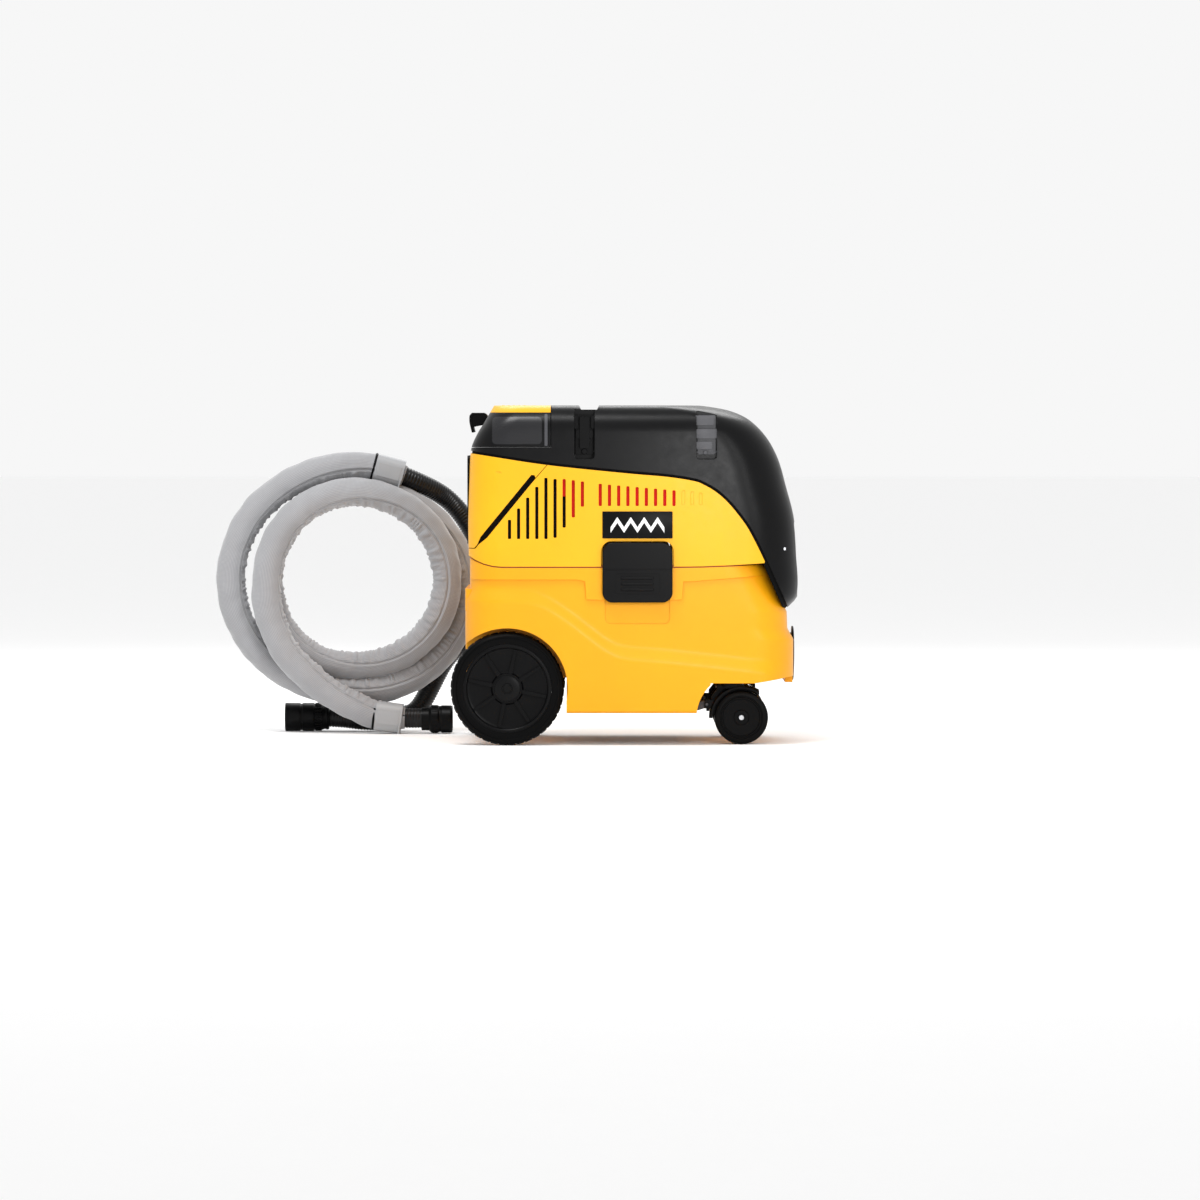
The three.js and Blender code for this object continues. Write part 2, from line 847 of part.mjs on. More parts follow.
function circuitBoard() {
  return block(236, 238, -70, 70, 330, 430);
}

function motorScroll() {
  const outer = rod("z", [MOTOR.x, 0], MOTOR.scrollRadius, 290, 330, 36);
  const hollow = rod("z", [MOTOR.x, 0], MOTOR.scrollRadius - 3, 293, 327, 36);
  const eye = rod("z", [MOTOR.x, 0], 26, 280, 300, 24);
  const shaftHole = rod("z", [MOTOR.x, 0], 10, 320, 340, 20);
  return cut(outer, hollow, eye, shaftHole);
}

function motorCan() {
  const outer = join(
    rod("z", [MOTOR.x, 0], MOTOR.canRadius, 330 + GAP, 386, 32),
    rod("z", [MOTOR.x, 0], 24, 380, 394, 24),
  );
  const hollow = rod("z", [MOTOR.x, 0], MOTOR.canRadius - 3, 334, 382, 32);
  const holes = [rod("z", [MOTOR.x, 0], 8, 320, 392, 20)];
  for (let i = 0; i < 6; i += 1) {
    const port = block(MOTOR.canRadius - 10, MOTOR.canRadius + 10, -9, 9, 345, 372);
    holes.push(port.rotate([0, 0, 60 * i]).translate([MOTOR.x, 0, 0]));
  }
  return cut(outer, hollow, ...holes);
}

function motorMount() {
  const ring = rod("z", [MOTOR.x, 0], 70, 285 + GAP, 290 - GAP, 32);
  return cut(ring, rod("z", [MOTOR.x, 0], 50, 280, 300, 32));
}

function rotorShaft() {
  const shaft = rod("z", [MOTOR.x, 0], 5, 298, 390, 16);
  const armature = rod("z", [MOTOR.x, 0], 34, 338, 378, 24);
  return join(shaft, armature);
}

function impeller() {
  const disc = rod("z", [MOTOR.x, 0], 66, 318, 321, 32);
  const hub = rod("z", [MOTOR.x, 0], 11, 302, 320, 20);
  const blades = [];
  for (let i = 0; i < 8; i += 1) {
    const blade = block(9, 64, -1.2, 1.2, 304, 319).rotate([0, 0, 45 * i]);
    blades.push(blade.translate([MOTOR.x, 0, 0]));
  }
  return cut(join(disc, hub, ...blades), rod("z", [MOTOR.x, 0], 5.3, 290, 330, 16));
}

function exhaustDuct() {
  const outer = block(-118, 98, -178, 178, 398, 446);
  const form = outer.intersect(alongY(belowCover(6), -220, 220)).intersect(headForm(WALL + 1));
  const passage = block(-114, 94, -200, 200, 401, 438);
  const motorOpening = rod("z", [MOTOR.x, 0], 54, 380, 420, 24);
  return cut(form, passage.intersect(alongY(belowCover(10), -220, 220)), motorOpening);
}

function latch() {
  const { x, width, bottom, top, y } = LATCH;
  const face = alongY(
    roundedRectangle(x - width / 2, x + width / 2, bottom, top, 17),
    -y - 9,
    -y - 0.6,
  );
  const hollow = alongY(
    roundedRectangle(x - width / 2 + 5, x + width / 2 - 5, bottom + 5, top - 5, 12),
    -y - 5,
    -y + 10,
  );
  const grips = [0, 1, 2].map((i) =>
    block(x - 24, x + 24, -y - 10.5, -y - 8, bottom + 20 + i * 12, bottom + 24 + i * 12),
  );
  const { hingeZ, knuckle } = LATCH;
  const barrel = join(
    rod("x", [-y, hingeZ], 4.6, x - knuckle, x + knuckle, 16),
    block(x - knuckle, x + knuckle, -y - 6, -y, hingeZ - 4, hingeZ + 4),
  );
  const bore = rod("x", [-y, hingeZ], 2.6, x - 50, x + 50, 16);
  const toe = block(x - 30, x + 30, -y - 5.5, -y + 3, bottom + 4, bottom + 10);
  return join(cut(join(cut(face, hollow), barrel), bore), ...grips, toe);
}

function latchPin() {
  return rod("x", [-LATCH.y, LATCH.hingeZ], 1.9, LATCH.x - 47.5, LATCH.x + 47.5, 12);
}

function caseClip(x) {
  const { width, bottom, top, depth } = CLIP;
  const y = -166.5;
  const plate = block(x - width / 2, x + width / 2, y - 5, y, bottom, top);
  const steps = [
    block(x - 13, x + 11, y - depth, y - 4, top - 16, top - 1),
    block(x - 11, x + 14, y - depth - 3, y - 4, top - 34, top - 20),
    block(x - 11, x + 10, y - depth - 4, y - 4, top - 52, top - 38),
  ];
  const trunnions = rod("x", [CLIP.hingeY, CLIP.hingeZ], 2.4, x - 19, x + 19, 12);
  return join(plate, trunnions, ...steps);
}

function carryHandle() {
  const { x, width, grip } = HANDLE;
  const low = 552;
  const high = 564;
  const outer = alongZ(roundedRectangle(x - 60, x + 60, -width / 2, width / 2, 14), low, high);
  const hole = alongZ(
    roundedRectangle(x - 60 + grip, x + 80, -width / 2 + 18, width / 2 - 18, 8),
    low - 5,
    high + 5,
  );
  const open = block(x + 44, x + 90, -width / 2 + 18, width / 2 - 18, low - 5, high + 5);
  const ends = width / 2 + 7.5;
  const trunnions = [-ends, ends - 20].map((from) =>
    rod("y", [HANDLE.hingeX, HANDLE.hingeZ], 3.5, from, from + 20, 16),
  );
  return join(cut(outer, hole, open), ...trunnions);
}

function badge() {
  return block(-37, 80, -HEAD.halfWidth - 1.6, -HEAD.halfWidth - GAP, 346, 391);
}

// ---------------------------------------------------------------- suction hose

const HOSE = { radius: 17.5, sleeve: 26 };
const COIL = { x: -470, bottom: 44, radius: 242, height: 446, inner: 137, near: 196, far: 332 };

// The coil's outer shape: a thick upright ring, a little wider than it is high, on its own two ends.
function hoseCoil() {
  const { x, bottom, radius, height, inner, near, far } = COIL;
  const ring = turnedY(
    [
      [inner, near + 16],
      [inner + 18, near],
      [radius - 18, near],
      [radius, near + 18],
      [radius, far - 18],
      [radius - 18, far],
      [inner + 18, far],
      [inner, far - 16],
    ],
    0,
    0,
    40,
  );
  return ring.scale([1, 1, height / 2 / radius]).translate([x, 0, bottom + height / 2]);
}

function tube(points, radius, sides, steps) {
  const curve = new THREE.CatmullRomCurve3(points.map((p) => new THREE.Vector3(...p)));
  const ring = new THREE.Shape();
  ring.absarc(0, 0, radius, 0, 2 * Math.PI);
  const section = new THREE.Shape(ring.getSpacedPoints(sides).slice(0, sides));
  return solid(
    new THREE.ExtrudeGeometry(section, { steps, bevelEnabled: false, extrudePath: curve }),
  );
}

// The bare hose on the floor, from the end that plugs into the machine to where it joins the coil.
const MACHINE_TAIL = [
  [-517.2, 304, 24.6],
  [-488, 304, 22.5],
  [-456, 304, 19],
  [-424, 304, 19],
  [-392, 304, 26],
  [-358, 306, 42],
];
// The sleeved hose from under the coil to the end that takes a tool.
const TOOL_TAIL = [
  [-396, 222, 27],
  [-373, 222, 26.4],
  [-350, 222, 26.4],
];

function machineCuff() {
  const axis = [304, 24.8];
  const bodyOfCuff = join(
    rod("x", axis, 24.5, -592, -540, 28),
    rod("x", axis, 23, -545, -519, 28),
  );
  return cut(bodyOfCuff, rod("x", axis, 17.5, -600, -530, 24));
}

function toolConnector() {
  const axis = [222, 25];
  const bodyOfCuff = join(rod("x", axis, 20, -347, -320, 24), rod("x", axis, 24, -330, -297, 24));
  return cut(bodyOfCuff, rod("x", axis, 15, -335, -290, 24));
}

// ---------------------------------------------------------------- the assembly

const finish = {
  yellow: [0xf9b617, 0.35, 0],
  charcoal: [0x2b2b2e, 0.5, 0],
  black: [0x111112, 0.45, 0],
  gloss: [0x1b1c20, 0.2, 0],
  rubber: [0x0c0c0d, 0.7, 0],
  grey: [0x5d5d63, 0.55, 0],
  red: [0xa81c16, 0.5, 0],
  steel: [0xb6b8ba, 0.3, 1],
  paper: [0xe8e6dc, 0.9, 0],
  board: [0x1d6b3a, 0.5, 0],
  sleeve: [0xa7a7ab, 0.95, 0],
};
const materials = Object.fromEntries(
  Object.entries(finish).map(([name, [color, roughness, metalness]]) => [
    name,
    new THREE.MeshStandardMaterial({ name, color, roughness, metalness }),
  ]),
);

const machine = new THREE.Group();

function add(name, material, body) {
  const mesh = new THREE.Mesh(geometryOf(body), materials[material]);
  mesh.name = name;
  machine.add(mesh);
}

add("container", "yellow", container());
add("container_gasket", "rubber", containerGasket());
add("inlet_port", "black", inletPort());
add("rear_axle", "steel", rod("y", [WHEEL.x, WHEEL.z], AXLE_RADIUS, -184.6, 184.6, 24));

for (const [name, side] of SIDES) {
  add(`wheel_tyre_${name}`, "rubber", onSide(rearTyre(), side));
  add(`wheel_rim_${name}`, "black", onSide(rearRim(), side));
  add(`hub_cap_${name}`, "black", onSide(hubCap(), side));
  add(`caster_fork_${name}`, "black", onSide(casterFork(), side));
  add(`caster_axle_${name}`, "steel", onSide(casterAxle(), side));
  add(`caster_brake_${name}`, "black", onSide(casterBrake(), side));
  const [nearDisc, farDisc] = casterWheel();
  add(`caster_wheel_outer_${name}`, "rubber", onSide(nearDisc, side));
  add(`caster_wheel_inner_${name}`, "rubber", onSide(farDisc, side));
  add(`filter_frame_${name}`, "black", onSide(filterFrame(), side));
  add(`filter_pleats_${name}`, "paper", onSide(filterPleats(), side));
  add(`latch_${name}`, "black", onSide(latch(), side));
  add(`latch_pin_${name}`, "steel", onSide(latchPin(), side));
  for (const [place, x] of Object.entries(CLIP_X)) {
    add(`case_clip_${place}_${name}`, "grey", onSide(caseClip(x), side));
  }
}

add("head_base", "black", headBase());
add("head_housing", "yellow", headHousing());
add("rear_housing", "yellow", rearHousing());
add("rear_panel", "black", rearPanel());
add("cable_gland", "rubber", cableGland());
add("top_cover", "charcoal", topCover());
add("control_panel", "black", controlPanel());
add("power_dial", "grey", dial(-DIAL.y));
add("hose_dial", "grey", dial(DIAL.y));
add("clean_button", "yellow", cleanButton());
add("socket_flap", "grey", socketFlap());
add("circuit_board", "board", circuitBoard());
add("motor_scroll", "black", motorScroll());
add("motor_can", "steel", motorCan());
add("motor_mount", "rubber", motorMount());
add("rotor_shaft", "steel", rotorShaft());
add("impeller", "steel", impeller());
add("exhaust_duct", "red", exhaustDuct());
add("compartment_box", "gloss", compartmentBox());
add("compartment_lid", "yellow", compartmentLid());
add("cable_hook", "black", cableHook());
add("carry_handle", "black", carryHandle());
add("badge", "black", badge());

add("hose_coil", "sleeve", hoseCoil());
add("hose_tail_machine", "rubber", tube(MACHINE_TAIL, HOSE.radius, 10, 5));
add("hose_tail_tool", "sleeve", tube(TOOL_TAIL, HOSE.sleeve, 12, 1));
add("machine_cuff", "black", machineCuff());
add("tool_connector", "black", toolConnector());

export default machine;
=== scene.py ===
import math

import bmesh
import bpy
from mathutils import Matrix, Vector, noise


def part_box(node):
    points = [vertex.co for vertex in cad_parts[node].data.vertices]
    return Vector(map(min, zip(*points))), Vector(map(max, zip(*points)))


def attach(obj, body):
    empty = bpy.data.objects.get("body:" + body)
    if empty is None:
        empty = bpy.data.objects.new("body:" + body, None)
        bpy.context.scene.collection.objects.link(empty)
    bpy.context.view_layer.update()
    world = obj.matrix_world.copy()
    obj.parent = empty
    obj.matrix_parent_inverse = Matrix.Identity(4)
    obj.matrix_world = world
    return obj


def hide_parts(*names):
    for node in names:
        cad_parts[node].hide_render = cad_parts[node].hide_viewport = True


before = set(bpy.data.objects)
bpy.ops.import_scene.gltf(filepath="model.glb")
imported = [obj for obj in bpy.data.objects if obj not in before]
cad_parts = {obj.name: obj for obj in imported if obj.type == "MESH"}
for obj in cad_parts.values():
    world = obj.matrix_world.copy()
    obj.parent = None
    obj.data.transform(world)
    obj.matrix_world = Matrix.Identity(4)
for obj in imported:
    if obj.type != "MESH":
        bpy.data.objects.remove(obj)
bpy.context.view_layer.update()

# Lengths are in millimetres until a mesh is made. The machine's front is +X and its left side is +Y.
MM = 0.001
SIDES = (("right", -1), ("left", 1))

# ---------------------------------------------------------------- places, from the frame


def node_box(name):
    """A CAD node's lowest and highest corners, in millimetres."""
    low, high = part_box(name)
    return Vector(low) / MM, Vector(high) / MM


def centre_of(name):
    low, high = node_box(name)
    return (low + high) / 2


WHEEL_X, _, WHEEL_Z = centre_of("rear_axle")
CASTER_X, CASTER_Y, CASTER_Z = centre_of("caster_axle_left")
HEAD_TOP = node_box("top_cover")[1].z
LATCH_LOW, LATCH_HIGH = node_box("latch_right")
BADGE_LOW, BADGE_HIGH = node_box("badge")
PANEL_LOW, PANEL_HIGH = node_box("control_panel")
BOX_LOW, BOX_HIGH = node_box("compartment_box")
LID_LOW, LID_HIGH = node_box("compartment_lid")
COIL_LOW, COIL_HIGH = node_box("hose_coil")

# ---------------------------------------------------------------- curves and stations


def ease(t):
    t = min(1.0, max(0.0, t))
    return t * t * (3 - 2 * t)


def along(stations, key):
    """The value of a smooth curve through (key, value) stations."""
    if key <= stations[0][0]:
        return stations[0][1]
    if key >= stations[-1][0]:
        return stations[-1][1]
    i = next(n for n, (k, _) in enumerate(stations) if k > key)

    def slope(n):
        before, after = stations[max(0, n - 1)], stations[min(len(stations) - 1, n + 1)]
        return (after[1] - before[1]) / (after[0] - before[0])

    (k0, v0), (k1, v1) = stations[i - 1], stations[i]
    span = k1 - k0
    t = (key - k0) / span
    a, b = slope(i - 1) * span, slope(i) * span
    return (
        (2 * t**3 - 3 * t**2 + 1) * v0
        + (t**3 - 2 * t**2 + t) * a
        + (3 * t**2 - 2 * t**3) * v1
        + (t**3 - t**2) * b
    )


def smooth_path(points, per_span=6, closed=False):
    """Points along a Catmull-Rom curve through the listed points, of any dimension."""
    points = [Vector(p) for p in points]
    count = len(points)
    result = []
    for i in range(count if closed else count - 1):
        if closed:
            p0, p1, p2, p3 = (points[(i + k) % count] for k in (-1, 0, 1, 2))
        else:
            p0, p1 = points[max(0, i - 1)], points[i]
            p2, p3 = points[i + 1], points[min(count - 1, i + 2)]
        for step in range(per_span):
            t = step / per_span
            result.append(
                0.5
                * (
                    2 * p1
                    + (p2 - p0) * t
                    + (2 * p0 - 5 * p1 + 4 * p2 - p3) * t**2
                    + (3 * p1 - p0 - 3 * p2 + p3) * t**3
                )
            )
    if not closed:
        result.append(points[-1])
    return result


def shifted(path, distance):
    """A flat path moved sideways, to its left where distance is positive."""
    moved = []
    for i, p in enumerate(path):
        run = path[min(len(path) - 1, i + 1)] - path[max(0, i - 1)]
        run.normalize()
        moved.append(p + Vector((-run.y, run.x)) * distance)
    return moved


def rounded_outline(u_low, u_high, v_low, v_high, radius, steps=6):
    corners = (
        (u_high - radius, v_high - radius, 0),
        (u_low + radius, v_high - radius, 90),
        (u_low + radius, v_low + radius, 180),
        (u_high - radius, v_low + radius, 270),
    )
    outline = []
    for u, v, start in corners:
        for step in range(steps + 1):
            angle = math.radians(start + 90 * step / steps)
            outline.append((u + radius * math.cos(angle), v + radius * math.sin(angle)))
    return outline


# ---------------------------------------------------------------- meshes

WELD_DISTANCE = 2e-6  # metres
SHELL_ANGLE = 30  # degrees between faces past which a thin shell keeps a sharp edge


def added(name, data):
    """A new object in the scene."""
    thing = bpy.data.objects.new(name, data)
    bpy.context.scene.collection.objects.link(thing)
    return thing


def discard(pieces):
    for piece in pieces:
        mesh = piece.data
        bpy.data.objects.remove(piece)
        bpy.data.meshes.remove(mesh)


def named(piece, name):
    piece.name = piece.data.name = name
    return piece


def new_piece(name, vertices, faces):
    mesh = bpy.data.meshes.new(name)
    mesh.from_pydata([Vector(v) * MM for v in vertices], [], faces)
    mesh.update()
    return added(name, mesh)


def face_outwards(piece, weld=False):
    bm = bmesh.new()
    bm.from_mesh(piece.data)
    if weld:
        bmesh.ops.remove_doubles(bm, verts=bm.verts, dist=WELD_DISTANCE / 2)
    bmesh.ops.recalc_face_normals(bm, faces=bm.faces)
    bm.to_mesh(piece.data)
    bm.free()
    return piece


def prism(name, outline, axis, low, high):
    """An outline run along one axis: x takes (y, z) points, y takes (x, z) and z takes (x, y)."""
    place = {
        "x": lambda u, v, w: (w, u, v),
        "y": lambda u, v, w: (u, w, v),
        "z": lambda u, v, w: (u, v, w),
    }[axis]
    count = len(outline)
    vertices = [place(p[0], p[1], level) for level in (low, high) for p in outline]
    faces = [list(range(count)), list(range(count, 2 * count))]
    for i in range(count):
        j = (i + 1) % count
        faces.append([i, j, count + j, count + i])
    return face_outwards(new_piece(name, vertices, faces))


def block(name, low, high):
    outline = [(low[0], low[1]), (high[0], low[1]), (high[0], high[1]), (low[0], high[1])]
    return prism(name, outline, "z", low[2], high[2])


def lathe(name, profile, axis, centre, sides=96, closed=True):
    """A turned piece: profile lists (radius, place along axis); centre is in the other two axes."""
    place = {
        "x": lambda c, s, w: (w, centre[0] + c, centre[1] + s),
        "y": lambda c, s, w: (centre[0] + c, w, centre[1] + s),
        "z": lambda c, s, w: (centre[0] + c, centre[1] + s, w),
    }[axis]
    vertices, faces = [], []
    count = len(profile)
    for i in range(sides):
        angle = 2 * math.pi * i / sides
        for radius, w in profile:
            vertices.append(place(radius * math.cos(angle), radius * math.sin(angle), w))
    for i in range(sides):
        j = (i + 1) % sides
        for k in range(count if closed else count - 1):
            m = (k + 1) % count
            faces.append([i * count + k, j * count + k, j * count + m, i * count + m])
    if not closed:
        faces.append([i * count for i in range(sides)])
        faces.append([i * count + count - 1 for i in range(sides)])
    return face_outwards(new_piece(name, vertices, faces), weld=True)


def rounded_profile(points, radius, steps=4):
    """A closed profile with its corners rounded."""
    result = []
    count = len(points)
    for i, point in enumerate(points):
        here = Vector(point)
        before, after = Vector(points[i - 1]), Vector(points[(i + 1) % count])
        reach = min(radius, (before - here).length * 0.45, (after - here).length * 0.45)
        start = here + (before - here).normalized() * reach
        end = here + (after - here).normalized() * reach
        for step in range(steps + 1):
            t = step / steps
            result.append(start * (1 - t) ** 2 + here * 2 * t * (1 - t) + end * t**2)
    return result


def evaluated(piece):
    """Applies a piece's modifiers."""
    graph = bpy.context.evaluated_depsgraph_get()
    mesh = bpy.data.meshes.new_from_object(piece.evaluated_get(graph))
    old = piece.data
    piece.modifiers.clear()
    piece.data = mesh
    bpy.data.meshes.remove(old)
    return piece


def combine(piece, tools, operation="DIFFERENCE", keep=False):
    """Cuts, joins or intersects a closed piece with others, which are then removed."""
    tools = tools if isinstance(tools, (list, tuple)) else [tools]
    for tool in tools:
        modifier = piece.modifiers.new("combine", "BOOLEAN")
        modifier.object = tool
        modifier.operation = operation
        modifier.solver = "MANIFOLD"
    evaluated(piece)
    if not keep:
        discard(tools)
    return piece


def copied(piece, name):
    copy = piece.copy()
    copy.data = piece.data.copy()
    bpy.context.scene.collection.objects.link(copy)
    return named(copy, name)


def mirrored(piece, name):
    """A copy of a piece on the machine's other side."""
    copy = copied(piece, name)
    copy.data.transform(Matrix.Scale(-1, 4, (0, 1, 0)))
    copy.data.flip_normals()
    return copy


def joined(name, pieces):
    """One piece made of several."""
    bm = bmesh.new()
    for piece in pieces:
        bm.from_mesh(piece.data)
    mesh = bpy.data.meshes.new(name)
    bm.to_mesh(mesh)
    bm.free()
    discard(pieces)
    return added(name, mesh)


def smooth(piece, angle=32):
    mesh = piece.data
    mesh.polygons.foreach_set("use_smooth", [True] * len(mesh.polygons))
    mesh.set_sharp_from_angle(angle=math.radians(angle))
    return piece


def soften(piece, width=0.8, segments=2, angle=32):
    """Rounds a piece's edges and shades it smooth."""
    weld = piece.modifiers.new("weld", "WELD")
    weld.merge_threshold = WELD_DISTANCE
    bevel = piece.modifiers.new("bevel", "BEVEL")
    bevel.width = width * MM
    bevel.segments = segments
    bevel.limit_method = "ANGLE"
    bevel.angle_limit = math.radians(angle)
    bevel.miter_outer = "MITER_ARC"
    evaluated(piece)
    smooth(piece, 50)
    normals = piece.modifiers.new("normals", "WEIGHTED_NORMAL")
    normals.keep_sharp = True
    normals.weight = 70
    return piece


def rounded_block(name, low, high, radius=1.0, segments=3):
    piece = block(name, low, high)
    bevel = piece.modifiers.new("bevel", "BEVEL")
    bevel.width = radius * MM
    bevel.segments = segments
    evaluated(piece)
    return smooth(piece, 50)


def rod(name, axis, centre, radius, low, high, sides=48, edge=0.8):
    profile = [(0.0, low), (radius - edge, low), (radius, low + edge)]
    profile += [(radius, high - edge), (radius - edge, high), (0.0, high)]
    return smooth(lathe(name, profile, axis, centre, sides, closed=False), 40)


def place(piece, body, material, nodes=(), slot=None):
    """Gives a piece its body and its material, and hides the CAD nodes that it stands for."""
    piece.data.materials.clear()
    piece.data.materials.append(material)
    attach(piece, body)
    if nodes:
        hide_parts(*([nodes] if isinstance(nodes, str) else nodes))
    return piece


def place_shell(piece, name, body, material, nodes, slot):
    """Names, shades and places a moulded shell."""
    smooth(named(piece, name), SHELL_ANGLE)
    piece.modifiers.new("normals", "WEIGHTED_NORMAL").keep_sharp = True
    return place(piece, body, material, nodes, slot)


def place_lining(piece, name, body, material):
    """Names, shades and places a lining that stands for no CAD node; most are dark sheets painted as the
    shade in a gap or opening.
    """
    return place(smooth(named(piece, name), SHELL_ANGLE), body, material, slot="rubber")


# ---------------------------------------------------------------- materials


def node_of(tree, kind, **inputs):
    node = tree.nodes.new(kind)
    for name, value in inputs.items():
        node.inputs[name.replace("_", " ")].default_value = value
    return node


def ranged(tree, source, low, high, from_low=0.3, from_high=0.7):
    node = node_of(tree, "ShaderNodeMapRange")
    for index, value in zip((1, 2, 3, 4), (from_low, from_high, low, high)):
        node.inputs[index].default_value = value
    tree.links.new(source, node.inputs[0])
    return node.outputs[0]


def mixed(tree, factor, first, second):
    node = tree.nodes.new("ShaderNodeMix")
    node.data_type = "RGBA"
    if isinstance(factor, (int, float)):
        node.inputs[0].default_value = factor
    else:
        tree.links.new(factor, node.inputs[0])
    for socket, value in ((node.inputs[6], first), (node.inputs[7], second)):
        if hasattr(value, "is_output"):
            tree.links.new(value, socket)
        else:
            socket.default_value = (*value, 1)
    return node.outputs[2]


def tinted(color, gain):
    return tuple(min(1.0, c * gain) for c in color)


def moulded(name, color, roughness, grain=1400, depth=0.05, mottle=0.06, rounding=0.0, metallic=0.0,
            scuffs=0.0, stretch=None, specular=0.5):
    """Moulded plastic, rubber or metal: a fine grain, faint blotches and duller patches. Depths are in mm."""
    material = bpy.data.materials.new(name)
    material.use_nodes = True
    tree = material.node_tree
    shader = tree.nodes["Principled BSDF"]
    shader.inputs["Metallic"].default_value = metallic
    shader.inputs["Specular IOR Level"].default_value = specular
    coords = tree.nodes.new("ShaderNodeTexCoord").outputs["Object"]
    if stretch:
        mapping = node_of(tree, "ShaderNodeMapping", Scale=stretch)
        tree.links.new(coords, mapping.inputs["Vector"])
        coords = mapping.outputs[0]

    def noise_texture(scale, detail, rough=0.5):
        node = node_of(tree, "ShaderNodeTexNoise", Scale=scale, Detail=detail, Roughness=rough)
        tree.links.new(coords, node.inputs["Vector"])
        return node.outputs["Fac"]

    blotches = noise_texture(7, 5, 0.6)
    base = mixed(tree, ranged(tree, blotches, 0, 1), tinted(color, 1 - mottle), tinted(color, 1 + mottle))
    wear = noise_texture(60, 6, 0.7)
    if scuffs:
        streaks = node_of(tree, "ShaderNodeTexNoise", Scale=25, Detail=8, Roughness=0.75, Distortion=1.2)
        tree.links.new(coords, streaks.inputs["Vector"])
        scratches = ranged(tree, streaks.outputs["Fac"], 0, scuffs, 0.6, 0.78)
        base = mixed(tree, scratches, base, tinted(color, 0.55))
    tree.links.new(base, shader.inputs["Base Color"])
    tree.links.new(
        ranged(tree, wear, roughness * 0.88, min(1, roughness * 1.14)), shader.inputs["Roughness"]
    )
    bump = node_of(tree, "ShaderNodeBump", Strength=0.35, Distance=depth * MM)
    tree.links.new(noise_texture(grain, 3), bump.inputs["Height"])
    if rounding:
        edge = tree.nodes.new("ShaderNodeBevel")
        edge.samples = 4
        edge.inputs["Radius"].default_value = rounding * MM
        tree.links.new(edge.outputs[0], bump.inputs["Normal"])
    tree.links.new(bump.outputs[0], shader.inputs["Normal"])
    return material


yellow = moulded("yellow plastic", (0.76, 0.325, 0.003), 0.38, mottle=0.03, rounding=1.1, specular=0.25)
# The same yellow plastic for the head, painted lighter and less orange than the container's: painted light
# for the brighter light on the head.
yellow_head_lit = moulded(
    "yellow plastic, head, painted lighter", (0.78, 0.38, 0.005), 0.38, mottle=0.03, rounding=1.1, specular=0.25
)
# Dark orange painted as the shade inside the seam between the container and the head.
painted_seam_colour = moulded("painted seam shade", (0.30, 0.055, 0.004), 0.6, mottle=0.1)
charcoal = moulded(
    "charcoal plastic", (0.0022, 0.0022, 0.0025), 0.32,
    grain=1100, depth=0.06, mottle=0.15, rounding=1.2, specular=0.14,
)
black = moulded(
    "black plastic", (0.0015, 0.0015, 0.0017), 0.36,
    grain=1300, depth=0.05, mottle=0.15, rounding=0.6, specular=0.10,
)
gloss = moulded(
    "glossy black plastic", (0.0022, 0.0022, 0.0024), 0.36, depth=0.02, mottle=0.1, specular=0.11
)
brushed = moulded(
    "brushed dark plastic", (0.010, 0.010, 0.0115), 0.28,
    grain=500, depth=0.06, mottle=0.25, stretch=(0.05, 1, 1), specular=0.3,
)
# A black sheet that paints shade into gaps and openings whose inside lies in shadow.
shadow = moulded("painted shade black", (0.0025, 0.0025, 0.0025), 0.95, grain=500, depth=0.5, specular=0.1)
grey = moulded("grey plastic", (0.050, 0.050, 0.056), 0.42, depth=0.06, mottle=0.12, specular=0.3)
white = moulded("white print", (0.82, 0.82, 0.82), 0.5, grain=900, depth=0.01, mottle=0.02)
red = moulded("red plastic", (0.52, 0.010, 0.005), 0.55, mottle=0.12, specular=0.1)
tyre_rubber = moulded(
    "tyre rubber", (0.0010, 0.0010, 0.0011), 0.42,
    grain=700, depth=0.08, mottle=0.2, scuffs=0.5, specular=0.06,
)
caster_rubber = moulded(
    "caster rubber", (0.0012, 0.0012, 0.0013), 0.42,
    grain=700, depth=0.08, mottle=0.2, scuffs=0.4, specular=0.08,
)
seal_rubber = moulded("seal rubber", (0.01, 0.01, 0.01), 0.7, grain=600, depth=0.1)
steel = moulded(
    "brushed steel", (0.55, 0.56, 0.58), 0.28,
    metallic=1, grain=600, depth=0.03, stretch=(1, 0.06, 1),
)
cast = moulded("motor casing", (0.58, 0.58, 0.60), 0.42, metallic=1, grain=500, depth=0.15)
paper = moulded("filter paper", (0.78, 0.75, 0.66), 0.9, grain=1500, depth=0.2, mottle=0.08)
board = moulded("circuit board", (0.012, 0.13, 0.045), 0.35, mottle=0.1)
hose_plastic = moulded(
    "hose plastic", (0.0045, 0.0045, 0.005), 0.34, specular=0.28, grain=900, depth=0.05, mottle=0.15
)
label_plastic = moulded("label plastic", (0.35, 0.355, 0.365), 0.42, grain=900, depth=0.05, specular=0.35)
# White painted as the glint of a screw head on the nose; it gives no light.
glint_white = moulded("painted glint", (0.80, 0.82, 0.85), 0.2, depth=0.01)


